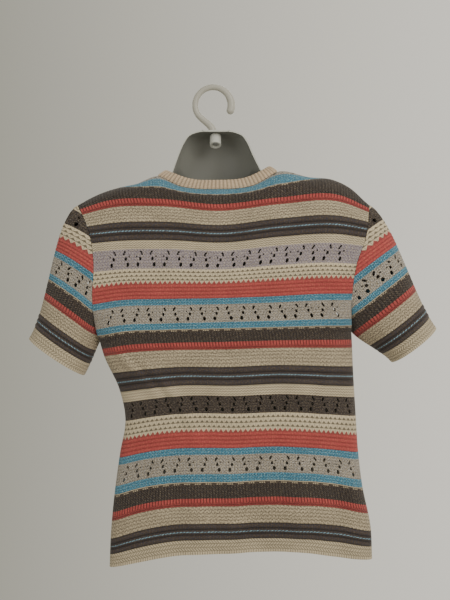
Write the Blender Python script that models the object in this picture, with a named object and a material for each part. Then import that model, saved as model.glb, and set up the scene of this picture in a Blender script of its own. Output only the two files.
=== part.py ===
"""A short-sleeved knit top in striped openwork, on a hollow-backed hanging form with its hook.

Metres, +Z up. The origin is the top of the inside of the hook, where it hangs. The wearer's
front faces -Y and the wearer's left is +X. Every knitted panel is a wall that follows one
surface of the body or of a sleeve. Places on the body are (side, across, course): side is +1
for the back and -1 for the front, across runs from +1 at the wearer's left edge to -1 at the
right edge, and course is the knitted length up from the hem.
"""

import math

import bmesh
import bpy
import numpy as np

# Knitted wall
WALL = 0.0022
SEAM_GAP = 0.0003
NECK_SEAM_GAP = 0.0006
EDGE_SHARE = 2e-7
NORMAL_STEP = 1e-4
LINE_SAMPLES = 401
RIDGE_RAISE = 0.0011
RIDGES_PER_BAND = 3
MAIN_COLUMNS = 17
END_COLUMNS = (0.012, 0.0255)
SHOULDER_COLUMNS = 7
NECK_COLUMNS = 16
YOKE_ROWS = 6

# Body, by course
TOP_COURSE = 0.555
RIDGE_COURSE = 0.507
YOKE_COURSE = 0.481
UNDERARM_COURSE = 0.3140
WRAP_COURSES = 0.070
SIDE_POWER = {1: 2.8, -1: 2.3}
ARMHOLE_HALF_DEPTH = {1: 0.040, -1: 0.045}
ARMHOLE_LEAN = 0.75
ARMHOLE_ROUNDNESS = 0.8

# Bands of the knit from the hem up: name, height
BODY_BANDS = (
    ("hem", 0.0215),
    ("ridged", 0.0240),
    ("taupe", 0.0250),
    ("ribbed", 0.0115),
    ("brown", 0.0190),
    ("dashes", 0.0045),
    ("blue", 0.0110),
    ("lace", 0.0270),
    ("blue", 0.0095),
    ("coral", 0.0220),
    ("leaf", 0.0265),
    ("lace", 0.0255),
    ("garter", 0.0145),
    ("ridged", 0.0265),
    ("taupe", 0.0245),
    ("ribbed", 0.0105),
    ("brown", 0.0155),
    ("dashes", 0.0040),
    ("blue", 0.0090),
    ("lace", 0.0270),
    ("blue", 0.0090),
    ("coral", 0.0210),
    ("leaf", 0.0215),
    ("lace", 0.0260),
    ("garter", 0.0110),
    ("ridged", 0.0230),
)
SLEEVE_BANDS = (
    ("hem", 0.0200),
    ("ridged", 0.0220),
    ("taupe", 0.0230),
    ("ribbed", 0.0100),
    ("brown", 0.0170),
    ("dashes", 0.0040),
    ("blue", 0.0090),
    ("lace", 0.0260),
    ("blue", 0.0090),
    ("coral", 0.0200),
    ("leaf", 0.0230),
    ("lace", 0.0250),
)

# Height of a course at places across the body, from the left edge (0) to the right edge (1)
STATIONS = (0.0, 0.10, 0.27, 0.48, 0.69, 0.90, 1.0)
COURSE_HEIGHTS = (
    # course, then z at each station
    (0.000, -0.722, -0.711, -0.697, -0.694, -0.691, -0.704, -0.710),
    (0.034, -0.691, -0.676, -0.662, -0.661, -0.659, -0.669, -0.679),
    (0.100, -0.619, -0.605, -0.594, -0.593, -0.590, -0.599, -0.608),
    (0.175, -0.531, -0.522, -0.514, -0.514, -0.512, -0.518, -0.523),
    (0.258, -0.440, -0.434, -0.428, -0.428, -0.425, -0.428, -0.430),
    (0.325, -0.370, -0.363, -0.360, -0.358, -0.356, -0.354, -0.354),
    (0.373, -0.320, -0.314, -0.312, -0.311, -0.308, -0.304, -0.304),
    (0.436, -0.248, -0.245, -0.244, -0.247, -0.239, -0.235, -0.239),
    (0.470, -0.210, -0.205, -0.204, -0.209, -0.199, -0.195, -0.203),
    (0.507, -0.1785, -0.165, -0.163, -0.172, -0.162, -0.158, -0.1775),
)
# Line over the shoulders: place across, from the left edge to the right edge, then height
RIDGE_LINE = (
    (0.00, -0.1760),
    (0.04, -0.1660),
    (0.08, -0.1580),
    (0.14, -0.1495),
    (0.20, -0.1435),
    (0.27, -0.1315),
    (0.36, -0.1465),
    (0.48, -0.1490),
    (0.60, -0.1445),
    (0.69, -0.1245),
    (0.80, -0.1335),
    (0.88, -0.1375),
    (0.94, -0.1505),
    (1.00, -0.1755),
)

# Outline of the body seen from the front: height, then the edge's distance from the middle
LEFT_EDGE = (
    (-0.722, 0.157),
    (-0.672, 0.155),
    (-0.608, 0.149),
    (-0.550, 0.141),
    (-0.499, 0.133),
    (-0.454, 0.142),
    (-0.401, 0.166),
    (-0.370, 0.174),
    (-0.320, 0.178),
    (-0.261, 0.176),
    (-0.210, 0.186),
    (-0.174, 0.204),
)
RIGHT_EDGE = (
    (-0.708, 0.241),
    (-0.664, 0.239),
    (-0.599, 0.226),
    (-0.550, 0.220),
    (-0.491, 0.216),
    (-0.424, 0.212),
    (-0.377, 0.210),
    (-0.314, 0.206),
    (-0.266, 0.212),
    (-0.230, 0.225),
    (-0.174, 0.234),
)

# Depth of the body by course: how far the middle of the back and of the front lie out
DEPTHS = (
    # course, back, front
    (0.000, 0.036, 0.095),
    (0.150, 0.040, 0.094),
    (0.260, 0.043, 0.100),
    (0.350, 0.046, 0.111),
    (0.430, 0.047, 0.101),
    (0.480, 0.046, 0.083),
    (0.507, 0.045, 0.076),
)

FOLD_END = 0.10

# Largest folds: side, across, course at the middle, half width across, half height, rise, lean
FOLDS = (
    (1, 0.80, 0.275, 0.055, 0.050, 0.0050, 2.6),
    (1, 0.70, 0.255, 0.050, 0.060, -0.0040, 3.0),
    (1, 0.58, 0.235, 0.070, 0.080, 0.0035, 3.2),
    (1, -0.72, 0.235, 0.060, 0.070, 0.0035, -1.8),
    (1, 0.34, 0.060, 0.110, 0.120, 0.0045, 0.3),
    (1, -0.08, 0.040, 0.100, 0.110, -0.0035, -0.2),
    (1, -0.42, 0.070, 0.110, 0.130, 0.0045, -0.4),
    (1, -0.76, 0.050, 0.070, 0.120, -0.0030, -0.4),
    (-1, 0.74, 0.280, 0.070, 0.070, 0.0045, 2.4),
    (-1, -0.70, 0.265, 0.070, 0.080, 0.0040, -2.2),
    (-1, 0.40, 0.080, 0.120, 0.130, 0.0050, 0.4),
    (-1, 0.02, 0.050, 0.100, 0.120, -0.0035, 0.1),
    (-1, -0.36, 0.075, 0.120, 0.140, 0.0050, -0.3),
)

# Lace: pairs of columns that lean together, with the largest gap of each column cut through
BODY_LACE_PAIRS = 10
SLEEVE_LACE_PAIRS = 8
LACE_GAP = {"from_pair": 0.194, "up": 0.0057, "wide": 0.0046, "tall": 0.0064}

# Neck: where the seam meets the shoulders, across, and how many courses it dips
NECK_LEFT = 0.455
NECK_RIGHT = -0.375
NECK_DIP = {1: 0.0210, -1: 0.0660}
NECK_SCOOP_POWER = {1: 0.55, -1: 0.75}
NECK_SHARE = (0.26, 0.70)
BAND_HEIGHT = 0.0155
BAND_WALL = 0.0024
BAND_LEAN_SHOULDER = 0.90
BAND_LEAN_MIDDLE = 0.35
BAND_ROUNDING = 9
BAND_BELLY = 0.0007
BAND_RIBS = 92
BAND_RIB_RAISE = 0.0005

# Sleeves: cuff centre, its half width along the cuff and half depth, the way the cuff runs
SLEEVES = {
    "left": {
        "sign": 1,
        "centre": (0.2375, 0.000, -0.405),
        "half_width": 0.050,
        "half_depth": 0.037,
        "cuff_run": (0.83, 0.56),
    },
    "right": {
        "sign": -1,
        "centre": (-0.3045, 0.000, -0.387),
        "half_width": 0.0425,
        "half_depth": 0.041,
        "cuff_run": (-0.78, 0.62),
    },
}
SLEEVE_COLUMNS = 8
CAP_COLUMNS = 4
LACE_FILL = 0.045
SLEEVE_CROWN = 0.004
ARMHOLE_SPACING = 0.007
ARMHOLE_GAP = 0.0005
LEAD_MARGIN = 0.002
SLEEVE_TURN_STEPS = 128
SLEEVE_LENGTH_STEPS = 96
SEAM_TURN = 0.01
SLEEVE_NORMAL_STEP = 1e-3
ROW_MARGIN = 0.0025
SLEEVE_CUFF_PULL = 0.75
SLEEVE_SHOULDER_PULL = 0.60
UNDERARM_RISE = (-0.50, 0.87)
SHOULDER_RISE = (-0.86, 0.42)

# Hanging form
FORM_WALL = 0.0025
FORM_CLEAR = 0.0055
FORM_SEAT_CLEAR = 0.0009
FORM_RIM_CLEAR = 0.0020
FORM_NECK_CLEAR = 0.0016
FORM_NECK_CLEAR_SPAN = 0.22
FORM_SEAT_COURSES = (0.492, 0.530)
FORM_FOOT_COURSE = 0.085
FORM_EDGE = 0.93
FORM_OVER_RIDGE = 0.007
FORM_NECK_LEFT = 0.365
FORM_NECK_RIGHT = -0.285
FORM_NECK_DIP = 0.032
FORM_NECK_X = -0.004
FORM_NECK_RIM_Y = 0.0075
FORM_SHOULDER_COLUMNS = 8
FORM_NECK_COLUMNS = 10
FORM_ROWS = 9
# Rings of the neck: height of the rim, drop at the front, half width, depth of the front
FORM_NECK_RINGS = (
    (-0.1110, 0.030, 0.0620, 0.054),
    (-0.0990, 0.014, 0.0578, 0.049),
    (-0.0835, 0.004, 0.0510, 0.044),
    (-0.0710, 0.001, 0.0425, 0.037),
    (-0.0640, 0.000, 0.0300, 0.028),
    (-0.0620, 0.000, 0.0210, 0.021),
)
CAP_ROWS = 2
CAP_EDGE_SHARE = 0.7

# Hook
HOOK_INSIDE_RADIUS = 0.0230
HOOK_ROD_RADIUS = 0.0044
HOOK_TIP_RADIUS = 0.0060
HOOK_TIP_TURN = math.radians(197.0)
HOOK_BACK_TURN = math.radians(-24.0)
HOOK_FOOT = (0.0008, 0.0, -0.0617)
HOOK_ARC_RINGS = 18
HOOK_STEM_RINGS = 8
HOOK_SIDES = 10
HOOK_TIP_ROUNDING = ((0.85, 0.50), (0.45, 0.87))
HOOK_STEM_PULL = 0.9
HOOK_FOOT_PULL = 0.8
HOOK_FOOT_LEAN = (-0.15, 0.0, -1.0)
HOOK_FOOT_SPREAD = 0.25

# Boss under the neck cap, and its screw
BOSS_RADIUS = 0.0086
BOSS_BORE_RADIUS = 0.0052
BOSS_LENGTH = 0.0170
BOSS_BORE_DEPTH = 0.0050
BOSS_TOP = (-0.0034, -0.0080, -0.0689)
BOSS_TILT = math.radians(28.0)
BOSS_SIDES = 20
SCREW_RADIUS = 0.0044
SCREW_RIM = 0.0040
SCREW_HEAD = 0.0018
SCREW_CROWN = 0.0020

COLOURS = {
    # name: colour, roughness
    "knit cream": ((0.52, 0.45, 0.31), 0.90),
    "knit coral": ((0.43, 0.08, 0.06), 0.90),
    "knit blue": ((0.10, 0.30, 0.42), 0.90),
    "rib cream": ((0.58, 0.46, 0.33), 0.90),
    "form plastic": ((0.50, 0.50, 0.45), 0.45),
    "hook plastic": ((0.36, 0.34, 0.26), 0.40),
    "screw steel": ((0.55, 0.55, 0.55), 0.35),
}


# Curves and tables


def smooth(at, stops, values):
    """A cubic curve through rows of values at the stops, read at each place in at."""
    stops = np.asarray(stops, float)
    values = np.asarray(values, float)
    at = np.clip(at, stops[0], stops[-1])
    slopes = np.gradient(values, stops, axis=0)
    cell = np.clip(np.searchsorted(stops, at, side="right") - 1, 0, len(stops) - 2)
    width = stops[cell + 1] - stops[cell]
    t = (at - stops[cell]) / width
    here = (cell,) if values.ndim == 1 else (cell, np.arange(len(at)))
    there = (cell + 1,) if values.ndim == 1 else (cell + 1, np.arange(len(at)))
    return (
        values[here] * (1 + 2 * t) * (1 - t) ** 2
        + slopes[here] * width * t * (1 - t) ** 2
        + values[there] * (3 - 2 * t) * t**2
        - slopes[there] * width * (1 - t) * t**2
    )


def ease(t):
    """0 to 1, flat at both ends."""
    t = np.clip(t, 0.0, 1.0)
    return t * t * (3 - 2 * t)


def column(table, index):
    return np.array([row[index] for row in table])


def even_steps(points):
    """How far along a line of points each one lies, from 0 to 1."""
    lengths = np.linalg.norm(np.diff(points, axis=0), axis=1)
    run = np.concatenate([[0.0], np.cumsum(lengths)])
    return run / run[-1]


# Surface of the body


def over_ridge(course):
    """The angle left to turn over the shoulder: a right angle on the body, 0 on the ridge."""
    part = (course - RIDGE_COURSE) / (TOP_COURSE - RIDGE_COURSE)
    return math.pi / 2 * (1 - np.clip(part, 0.0, 1.0))


def course_height(station, course):
    lines = np.array([smooth(station, STATIONS, row[1:]) for row in COURSE_HEIGHTS])
    below = smooth(np.minimum(course, RIDGE_COURSE), column(COURSE_HEIGHTS, 0), lines)
    ridge = smooth(station, column(RIDGE_LINE, 0), column(RIDGE_LINE, 1))
    shoulder = ridge - (ridge - lines[-1]) * (1 - np.cos(over_ridge(course)))
    return np.where(course > RIDGE_COURSE, shoulder, below)


def edges_at(course):
    """How far out the left and right edges of the panel lie."""
    left = course_height(np.zeros_like(course), course)
    right = course_height(np.ones_like(course), course)
    return (
        smooth(left, column(LEFT_EDGE, 0), column(LEFT_EDGE, 1)),
        smooth(right, column(RIGHT_EDGE, 0), column(RIGHT_EDGE, 1)),
    )


def armhole_depth(side, course):
    """Half the depth of the armhole: how far from the side seam the panel stops."""
    part = (course - UNDERARM_COURSE) / (TOP_COURSE - UNDERARM_COURSE)
    part = np.clip(part, 0.0, 1.0) ** ARMHOLE_LEAN
    return ARMHOLE_HALF_DEPTH[side] * np.sin(math.pi * part) ** ARMHOLE_ROUNDNESS


def body_section(side, across, course):
    """How far the panel stands out from the side seam's plane."""
    low = np.minimum(course, RIDGE_COURSE)
    middle = smooth(low, column(DEPTHS, 0), column(DEPTHS, 1 if side > 0 else 2))
    edge = armhole_depth(side, low)
    power = SIDE_POWER[side]
    wrap = ease(1 - (low - UNDERARM_COURSE) / WRAP_COURSES)
    fall = (1 - np.clip(np.abs(across), 0, 1) ** power) ** (1 / (1 + (power - 1) * wrap))
    return edge + (middle - edge) * fall


def body_base(side, across, course):
    """A point of the outer face of the cloth, before folds and relief."""
    course = np.clip(course, 0.0, TOP_COURSE)
    left, right = edges_at(course)
    x = (left - right) / 2 + (left + right) / 2 * across
    y = side * body_section(side, across, course) * np.sin(over_ridge(course))
    return np.stack([x, y, course_height((1 - across) / 2, course)], axis=-1)


def fold_rise(side, across, course):
    rise = np.zeros_like(course)
    for fold_side, where, middle, wide, tall, height, lean in FOLDS:
        if fold_side == side:
            off = (across - where - lean * (course - middle)) / wide
            rise += height * np.exp(-(off**2) - ((course - middle) / tall) ** 2)
    return rise * ease((1 - np.abs(across)) / FOLD_END)


def body_outward(side, across, course):
    """The unit normal of the outer face."""
    step = NORMAL_STEP
    a_low, a_high = np.clip(across - step, -1, 1), np.clip(across + step, -1, 1)
    c_low = np.clip(course - step, 0, TOP_COURSE)
    c_high = np.clip(course + step, 0, TOP_COURSE)
    along = body_base(side, a_high, course) - body_base(side, a_low, course)
    up = body_base(side, across, c_high) - body_base(side, across, c_low)
    normal = np.cross(up, along) * side
    return normal / np.linalg.norm(normal, axis=-1, keepdims=True)


def body_point(side, across, course, out=0.0):
    """A point of the cloth, moved out from its outer face by this much."""
    across = np.asarray(across, float)
    course = np.asarray(course, float)
    move = fold_rise(side, across, course) + out
    normal = body_outward(side, across, course)
    return body_base(side, across, course) + normal * move[..., None]


def even_across(side, parts, course):
    """The places across at which these parts of the panel's width, seen along it, lie."""
    across = np.cos(np.linspace(0, math.pi, LINE_SAMPLES))
    line = body_base(side, across, np.full(LINE_SAMPLES, course))
    return np.interp(parts, even_steps(line), across)


# Surface of a sleeve


class Sleeve:
    """A tube from the cuff to the armhole. A place on it is (turn, length): turn runs round
    from 0 under the arm over the back to 0.5 at the shoulder and over the front to 1, and
    length is the knitted length up from the cuff."""

    def __init__(self, sizes, courses):
        self.sign = sizes["sign"]
        self.centre = np.array(sizes["centre"])
        run_x, run_z = sizes["cuff_run"]
        self.run = np.array([run_x, 0.0, run_z]) * sizes["half_width"]
        self.deep = np.array([0.0, sizes["half_depth"], 0.0])
        self.axis = np.array([-abs(run_z) * self.sign, 0.0, abs(run_x)])
        self.turns = np.linspace(0.0, 1.0, SLEEVE_TURN_STEPS + 1)
        self.armhole = self.armhole_loop(courses)
        self.read_lengths()

    def armhole_loop(self, courses):
        """The turn and the place of each point round the armhole, at the panels' rows."""
        edge = np.full(len(courses), float(self.sign))
        back = body_base(1, edge, courses)
        front = body_base(-1, edge, courses)[::-1]
        halves = []
        for half, first in ((back, 0.0), (front, 0.5)):
            turns = first + even_steps(half) / 2
            halves.append((turns, half))
        turns = np.concatenate([halves[0][0], halves[1][0][1:]])
        points = np.concatenate([halves[0][1], halves[1][1][1:]])
        return turns, points

    def ends(self, turn):
        angle = 2 * math.pi * turn
        cuff = (
            self.centre
            - np.cos(angle)[..., None] * self.run
            + np.sin(angle)[..., None] * self.deep
        )
        turns, points = self.armhole
        whole = np.mod(turn, 1.0)
        top = np.stack([np.interp(whole, turns, points[:, i]) for i in range(3)], axis=-1)
        return cuff, top

    def tangents(self, turn, cuff, top):
        reach = np.linalg.norm(top - cuff, axis=-1, keepdims=True)
        high = ((1 - np.cos(2 * math.pi * turn)) / 2)[..., None]
        under = np.array([UNDERARM_RISE[0] * self.sign, 0.0, UNDERARM_RISE[1]])
        over = np.array([SHOULDER_RISE[0] * self.sign, 0.0, SHOULDER_RISE[1]])
        leave = self.axis * reach * SLEEVE_CUFF_PULL
        arrive = (under * (1 - high) + over * high) * reach * SLEEVE_SHOULDER_PULL
        return leave, arrive

    def at(self, turn, part):
        cuff, top = self.ends(turn)
        leave, arrive = self.tangents(turn, cuff, top)
        t = part[..., None]
        return (
            cuff * (1 + 2 * t) * (1 - t) ** 2
            + leave * t * (1 - t) ** 2
            + top * (3 - 2 * t) * t**2
            - arrive * (1 - t) * t**2
        )

    def read_lengths(self):
        """The length of each line up the sleeve, and where even parts of it lie."""
        parts = np.linspace(0.0, 1.0, SLEEVE_LENGTH_STEPS + 1)
        totals, places = [], []
        for turn in self.turns:
            line = self.at(np.full(len(parts), turn), parts)
            totals.append(np.linalg.norm(np.diff(line, axis=0), axis=1).sum())
            places.append(np.interp(parts, even_steps(line), parts))
        self.totals = np.array(totals)
        self.places = np.array(places)

    def full_length(self, turn):
        return np.interp(turn, self.turns, self.totals)

    def base(self, turn, length):
        whole = np.mod(turn, 1.0)
        fraction = np.clip(length / self.full_length(whole), 0.0, 1.0)
        row = np.clip(whole * SLEEVE_TURN_STEPS, 0, SLEEVE_TURN_STEPS - 1e-3)
        col = np.clip(fraction * SLEEVE_LENGTH_STEPS, 0, SLEEVE_LENGTH_STEPS - 1e-3)
        r, c = row.astype(int), col.astype(int)
        fr, fc = row - r, col - c
        part = (
            self.places[r, c] * (1 - fr) * (1 - fc)
            + self.places[r + 1, c] * fr * (1 - fc)
            + self.places[r, c + 1] * (1 - fr) * fc
            + self.places[r + 1, c + 1] * fr * fc
        )
        return self.at(turn, part)

    def point(self, turn, length, out=0.0):
        turn = np.asarray(turn, float)
        length = np.asarray(length, float)
        step_t, step_l = SLEEVE_NORMAL_STEP, SLEEVE_NORMAL_STEP / 2
        seam = np.round(turn * 2) / 2
        near = np.where(np.abs(turn - seam) < SEAM_TURN, seam, turn)
        most = self.full_length(np.mod(near, 1.0))
        around = self.base(near + step_t, length) - self.base(near - step_t, length)
        up = self.base(near, np.minimum(length + step_l, most))
        up = up - self.base(near, np.maximum(length - step_l, 0.0))
        normal = np.cross(up, around) * self.sign
        normal = normal / np.linalg.norm(normal, axis=-1, keepdims=True)
        return self.base(turn, length) + normal * np.asarray(out)[..., None]

    def turn_at_length(self, length, half):
        """Where on this half the armhole lies this far up from the cuff."""
        turns = np.linspace(0.0, 0.5, 2 * SLEEVE_TURN_STEPS + 1)
        totals = self.full_length(turns if half > 0 else 1 - turns)
        rising = np.maximum.accumulate(totals)
        found = np.interp(length, rising, turns)
        return found if half > 0 else 1 - found


# Meshes


def mesh_object(name, points, faces, colour, smooth_angle=40.0):
    """One closed mesh from points and faces, with points that coincide made one."""
    index, kept, place = {}, [], []
    for point in points:
        key = tuple(np.round(point, 7))
        if key not in index:
            index[key] = len(kept)
            kept.append(tuple(map(float, point)))
        place.append(index[key])
    mesh = bpy.data.meshes.new(name)
    shape = bmesh.new()
    verts = [shape.verts.new(point) for point in kept]
    for face in faces:
        ring = []
        for corner in face:
            if place[corner] not in ring:
                ring.append(place[corner])
        if len(ring) > 2:
            shape.faces.new([verts[i] for i in ring])
    bmesh.ops.recalc_face_normals(shape, faces=shape.faces[:])
    shape.to_mesh(mesh)
    shape.free()
    mesh.shade_smooth()
    mesh.set_sharp_from_angle(angle=math.radians(smooth_angle))
    mesh.materials.append(material(colour))
    made = bpy.data.objects.new(name, mesh)
    bpy.context.scene.collection.objects.link(made)
    return made


def material(name):
    found = bpy.data.materials.get(name)
    if found:
        return found
    colour, roughness = COLOURS[name]
    made = bpy.data.materials.new(name)
    made.use_nodes = True
    shader = made.node_tree.nodes["Principled BSDF"]
    shader.inputs["Base Color"].default_value = (*colour, 1.0)
    shader.inputs["Roughness"].default_value = roughness
    shader.inputs["Metallic"].default_value = 1.0 if "steel" in name else 0.0
    return made


def stitch_rows(low, high, low_at, high_at):
    """Triangles between two rows of points, by how far along each point lies."""
    faces = []
    i = j = 0
    while i < len(low) - 1 or j < len(high) - 1:
        low_next = low_at[i] + low_at[i + 1] if i < len(low) - 1 else math.inf
        high_next = high_at[j] + high_at[j + 1] if j < len(high) - 1 else math.inf
        if low_next <= high_next:
            faces.append((low[i], low[i + 1], high[j]))
            i += 1
        else:
            faces.append((low[i], high[j + 1], high[j]))
            j += 1
    return faces


class Row:
    """A row of points along a panel: along and up give each point's place, raised moves the
    outer face out, edge counts the points at its start that lie on the panel's edge, gaps
    lists the cells above it that are cut through, counted from the last of those points, and
    inside says the inner face has the row too."""

    def __init__(self, along, up, raised=0.0, edge=1, gaps=(), inside=True):
        self.along = np.asarray(along, float)
        self.up = np.broadcast_to(np.asarray(up, float), self.along.shape)
        self.raised = raised
        self.body = np.ones(len(self.along))
        if raised:
            self.body[[0, -1]] = 0.0
        self.edge = edge
        self.gaps = set(gaps)
        self.inside = inside


def wall_from_rows(name, rows, point_at, wall, colour):
    """A closed wall: an outer and an inner face through the rows, joined round the edges."""
    points, faces = [], []

    def add_face(chosen, raise_by):
        ids = []
        for row in chosen:
            made = point_at(row.along, row.up, raise_by(row) * row.body)
            ids.append(list(range(len(points), len(points) + len(made))))
            points.extend(made)
        return ids

    outer_rows = rows
    inner_rows = [row for row in rows if row.inside]
    outer = add_face(outer_rows, lambda row: row.raised)
    inner = add_face(inner_rows, lambda row: -wall)
    for chosen, ids in ((outer_rows, outer), (inner_rows, inner)):
        for k in range(len(chosen) - 1):
            low, high = chosen[k], chosen[k + 1]
            start, turn_in = low.edge - 1, high.edge - 1
            if len(low.along) - start == len(high.along) - turn_in:
                below, above = ids[k][start:], ids[k + 1][turn_in:]
                for i in range(turn_in):
                    faces.append((below[0], ids[k + 1][i + 1], ids[k + 1][i]))
                for i in range(len(below) - 1):
                    if i not in low.gaps:
                        faces.append((below[i], below[i + 1], above[i + 1], above[i]))
            else:
                way = 1.0 if low.along[-1] > low.along[start] else -1.0
                faces += stitch_rows(
                    ids[k][start:], ids[k + 1], low.along[start:] * way, high.along * way
                )
    for k, row in enumerate(inner_rows):
        o = outer_rows.index(row)
        for i in row.gaps:
            low, high = i + row.edge - 1, i + inner_rows[k + 1].edge - 1
            corners = ((0, low), (0, low + 1), (1, high + 1), (1, high))
            ring_out = [outer[o + step][at] for step, at in corners]
            ring_in = [inner[k + step][at] for step, at in corners]
            for a in range(4):
                b = (a + 1) % 4
                faces.append((ring_out[a], ring_out[b], ring_in[b], ring_in[a]))

    def edge_line(chosen, ids, last):
        line, heights = [], []
        for row, row_ids in zip(chosen, ids):
            picks = [len(row_ids) - 1] if last else range(row.edge)
            line += [row_ids[i] for i in picks]
            heights += [row.up[i] for i in picks]
        return line, np.maximum.accumulate(heights)

    for last in (False, True):
        out_line, out_up = edge_line(outer_rows, outer, last)
        in_line, in_up = edge_line(inner_rows, inner, last)
        faces += stitch_rows(out_line, in_line, out_up, in_up)
    for k, row in ((0, rows[0]), (-1, rows[-1])):
        for i in range(row.edge - 1, len(row.along) - 1):
            faces.append((outer[k][i], outer[k][i + 1], inner[k][i + 1], inner[k][i]))
    return mesh_object(name, points, faces, colour)


# Rows that follow the bands of the knit


def ridge_rows(low, high, make):
    """Rows up a ridged band: a valley, then a crest and a valley for each ridge."""
    steps = 2 * RIDGES_PER_BAND
    rows = []
    for k in range(1, steps + 1):
        up = low + (high - low) * k / steps
        rows.append(make(up, RIDGE_RAISE if k % 2 else 0.0, k == steps))
    return rows


def gap_places(pairs, gap, first=0.0, last=1.0):
    """The middles of the gaps, as parts of the way across, in order."""
    places = []
    for pair in range(pairs):
        for lean in (-1, 1):
            place = (pair + 0.5 + lean * gap["from_pair"]) / pairs
            if first < place < last:
                places.append(place)
    return sorted(places)


def panel_rows(side):
    """The rows of the back or the front, from the hem to the neck and shoulders."""
    between = np.linspace(END_COLUMNS[-1], 1 - END_COLUMNS[-1], MAIN_COLUMNS + 1)
    starts = [0.0, *END_COLUMNS[:-1]]
    grid = np.concatenate([starts, between, [1 - part for part in reversed(starts)]])

    def plain(course, raised=0.0, inside=True):
        return Row(panel_ends(even_across(side, grid, course)), course, raised, inside=inside)

    rows = [plain(0.0)]
    low = 0.0
    for name, height in BODY_BANDS:
        high = low + height
        if name == "ridged":
            rows += ridge_rows(low, high, lambda up, raised, last: plain(up, raised, last))
        elif name == "lace":
            rows += lace_rows(side, low)
            rows.append(plain(high))
        elif name in ("hem", "taupe", "coral", "leaf"):
            rows.append(plain((low + high) / 2, inside=False))
            inside = name in ("hem", "taupe") or high >= UNDERARM_COURSE
            rows.append(plain(high, inside=inside))
        else:
            rows.append(plain(high, inside=name == "blue" or high >= UNDERARM_COURSE))
        low = high
    return rows + yoke_rows(side)


def panel_ends(across):
    """The same places, with the ends a hair inside the panel's edges."""
    across = across.copy()
    across[0], across[-1] = 1.0 - EDGE_SHARE, -1.0 + EDGE_SHARE
    return across


def lace_rows(side, low):
    """Two rows that hold the corners of one row of gaps."""
    gap = LACE_GAP
    middle = low + gap["up"]
    half_width = gap["wide"] / 2 / panel_width(side, middle)
    parts = [0.0, END_COLUMNS[0]]
    for place in gap_places(BODY_LACE_PAIRS, gap):
        parts += [place - half_width, place + half_width]
    parts += [1 - END_COLUMNS[0], 1.0]
    cut = range(2, len(parts) - 3, 2)
    made = []
    for course, gaps in ((middle - gap["tall"] / 2, cut), (middle + gap["tall"] / 2, ())):
        made.append(Row(panel_ends(even_across(side, parts, middle)), course, gaps=gaps))
    return made


def panel_width(side, course):
    line = body_base(side, np.linspace(1, -1, LINE_SAMPLES), np.full(LINE_SAMPLES, course))
    return np.linalg.norm(np.diff(line, axis=0), axis=1).sum()


def neck_line(side, turn, left=NECK_LEFT, right=NECK_RIGHT, dip=None):
    """The neck seam: turn runs from 0 at the left shoulder to 1 at the right one."""
    dip = NECK_DIP[side] if dip is None else dip
    across = (left + right) / 2 + (left - right) / 2 * np.cos(math.pi * turn)
    course = TOP_COURSE - dip * np.sin(math.pi * turn) ** NECK_SCOOP_POWER[side]
    return across, course


def yoke_rows(side):
    """The rows above the last ridged band, which turn from straight to the neck's line."""
    shoulder = np.linspace(0.0, 1.0, SHOULDER_COLUMNS + 1)
    turns = np.linspace(0.0, 1.0, NECK_COLUMNS + 1)
    neck_across, neck_course = neck_line(side, turns)
    left = 1.0 + (NECK_LEFT - 1.0) * shoulder
    right = NECK_RIGHT + (-1.0 - NECK_RIGHT) * shoulder
    top_across = np.concatenate([left[:-1], neck_across, right[1:]])
    top_course = np.concatenate(
        [np.full(SHOULDER_COLUMNS, TOP_COURSE), neck_course, np.full(SHOULDER_COLUMNS, TOP_COURSE)]
    )
    top_course = top_course - SEAM_GAP / 2
    parts = np.interp(
        np.arange(len(top_across)),
        [0, SHOULDER_COLUMNS, SHOULDER_COLUMNS + NECK_COLUMNS, len(top_across) - 1],
        [0.0, *NECK_SHARE, 1.0],
    )
    base_across = even_across(side, parts, YOKE_COURSE)
    rows = []
    for k in range(1, YOKE_ROWS + 1):
        part = k / YOKE_ROWS
        across = base_across + (top_across - base_across) * part
        course = YOKE_COURSE + (top_course - YOKE_COURSE) * part
        rows.append(Row(panel_ends(across), course))
    return rows


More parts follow.
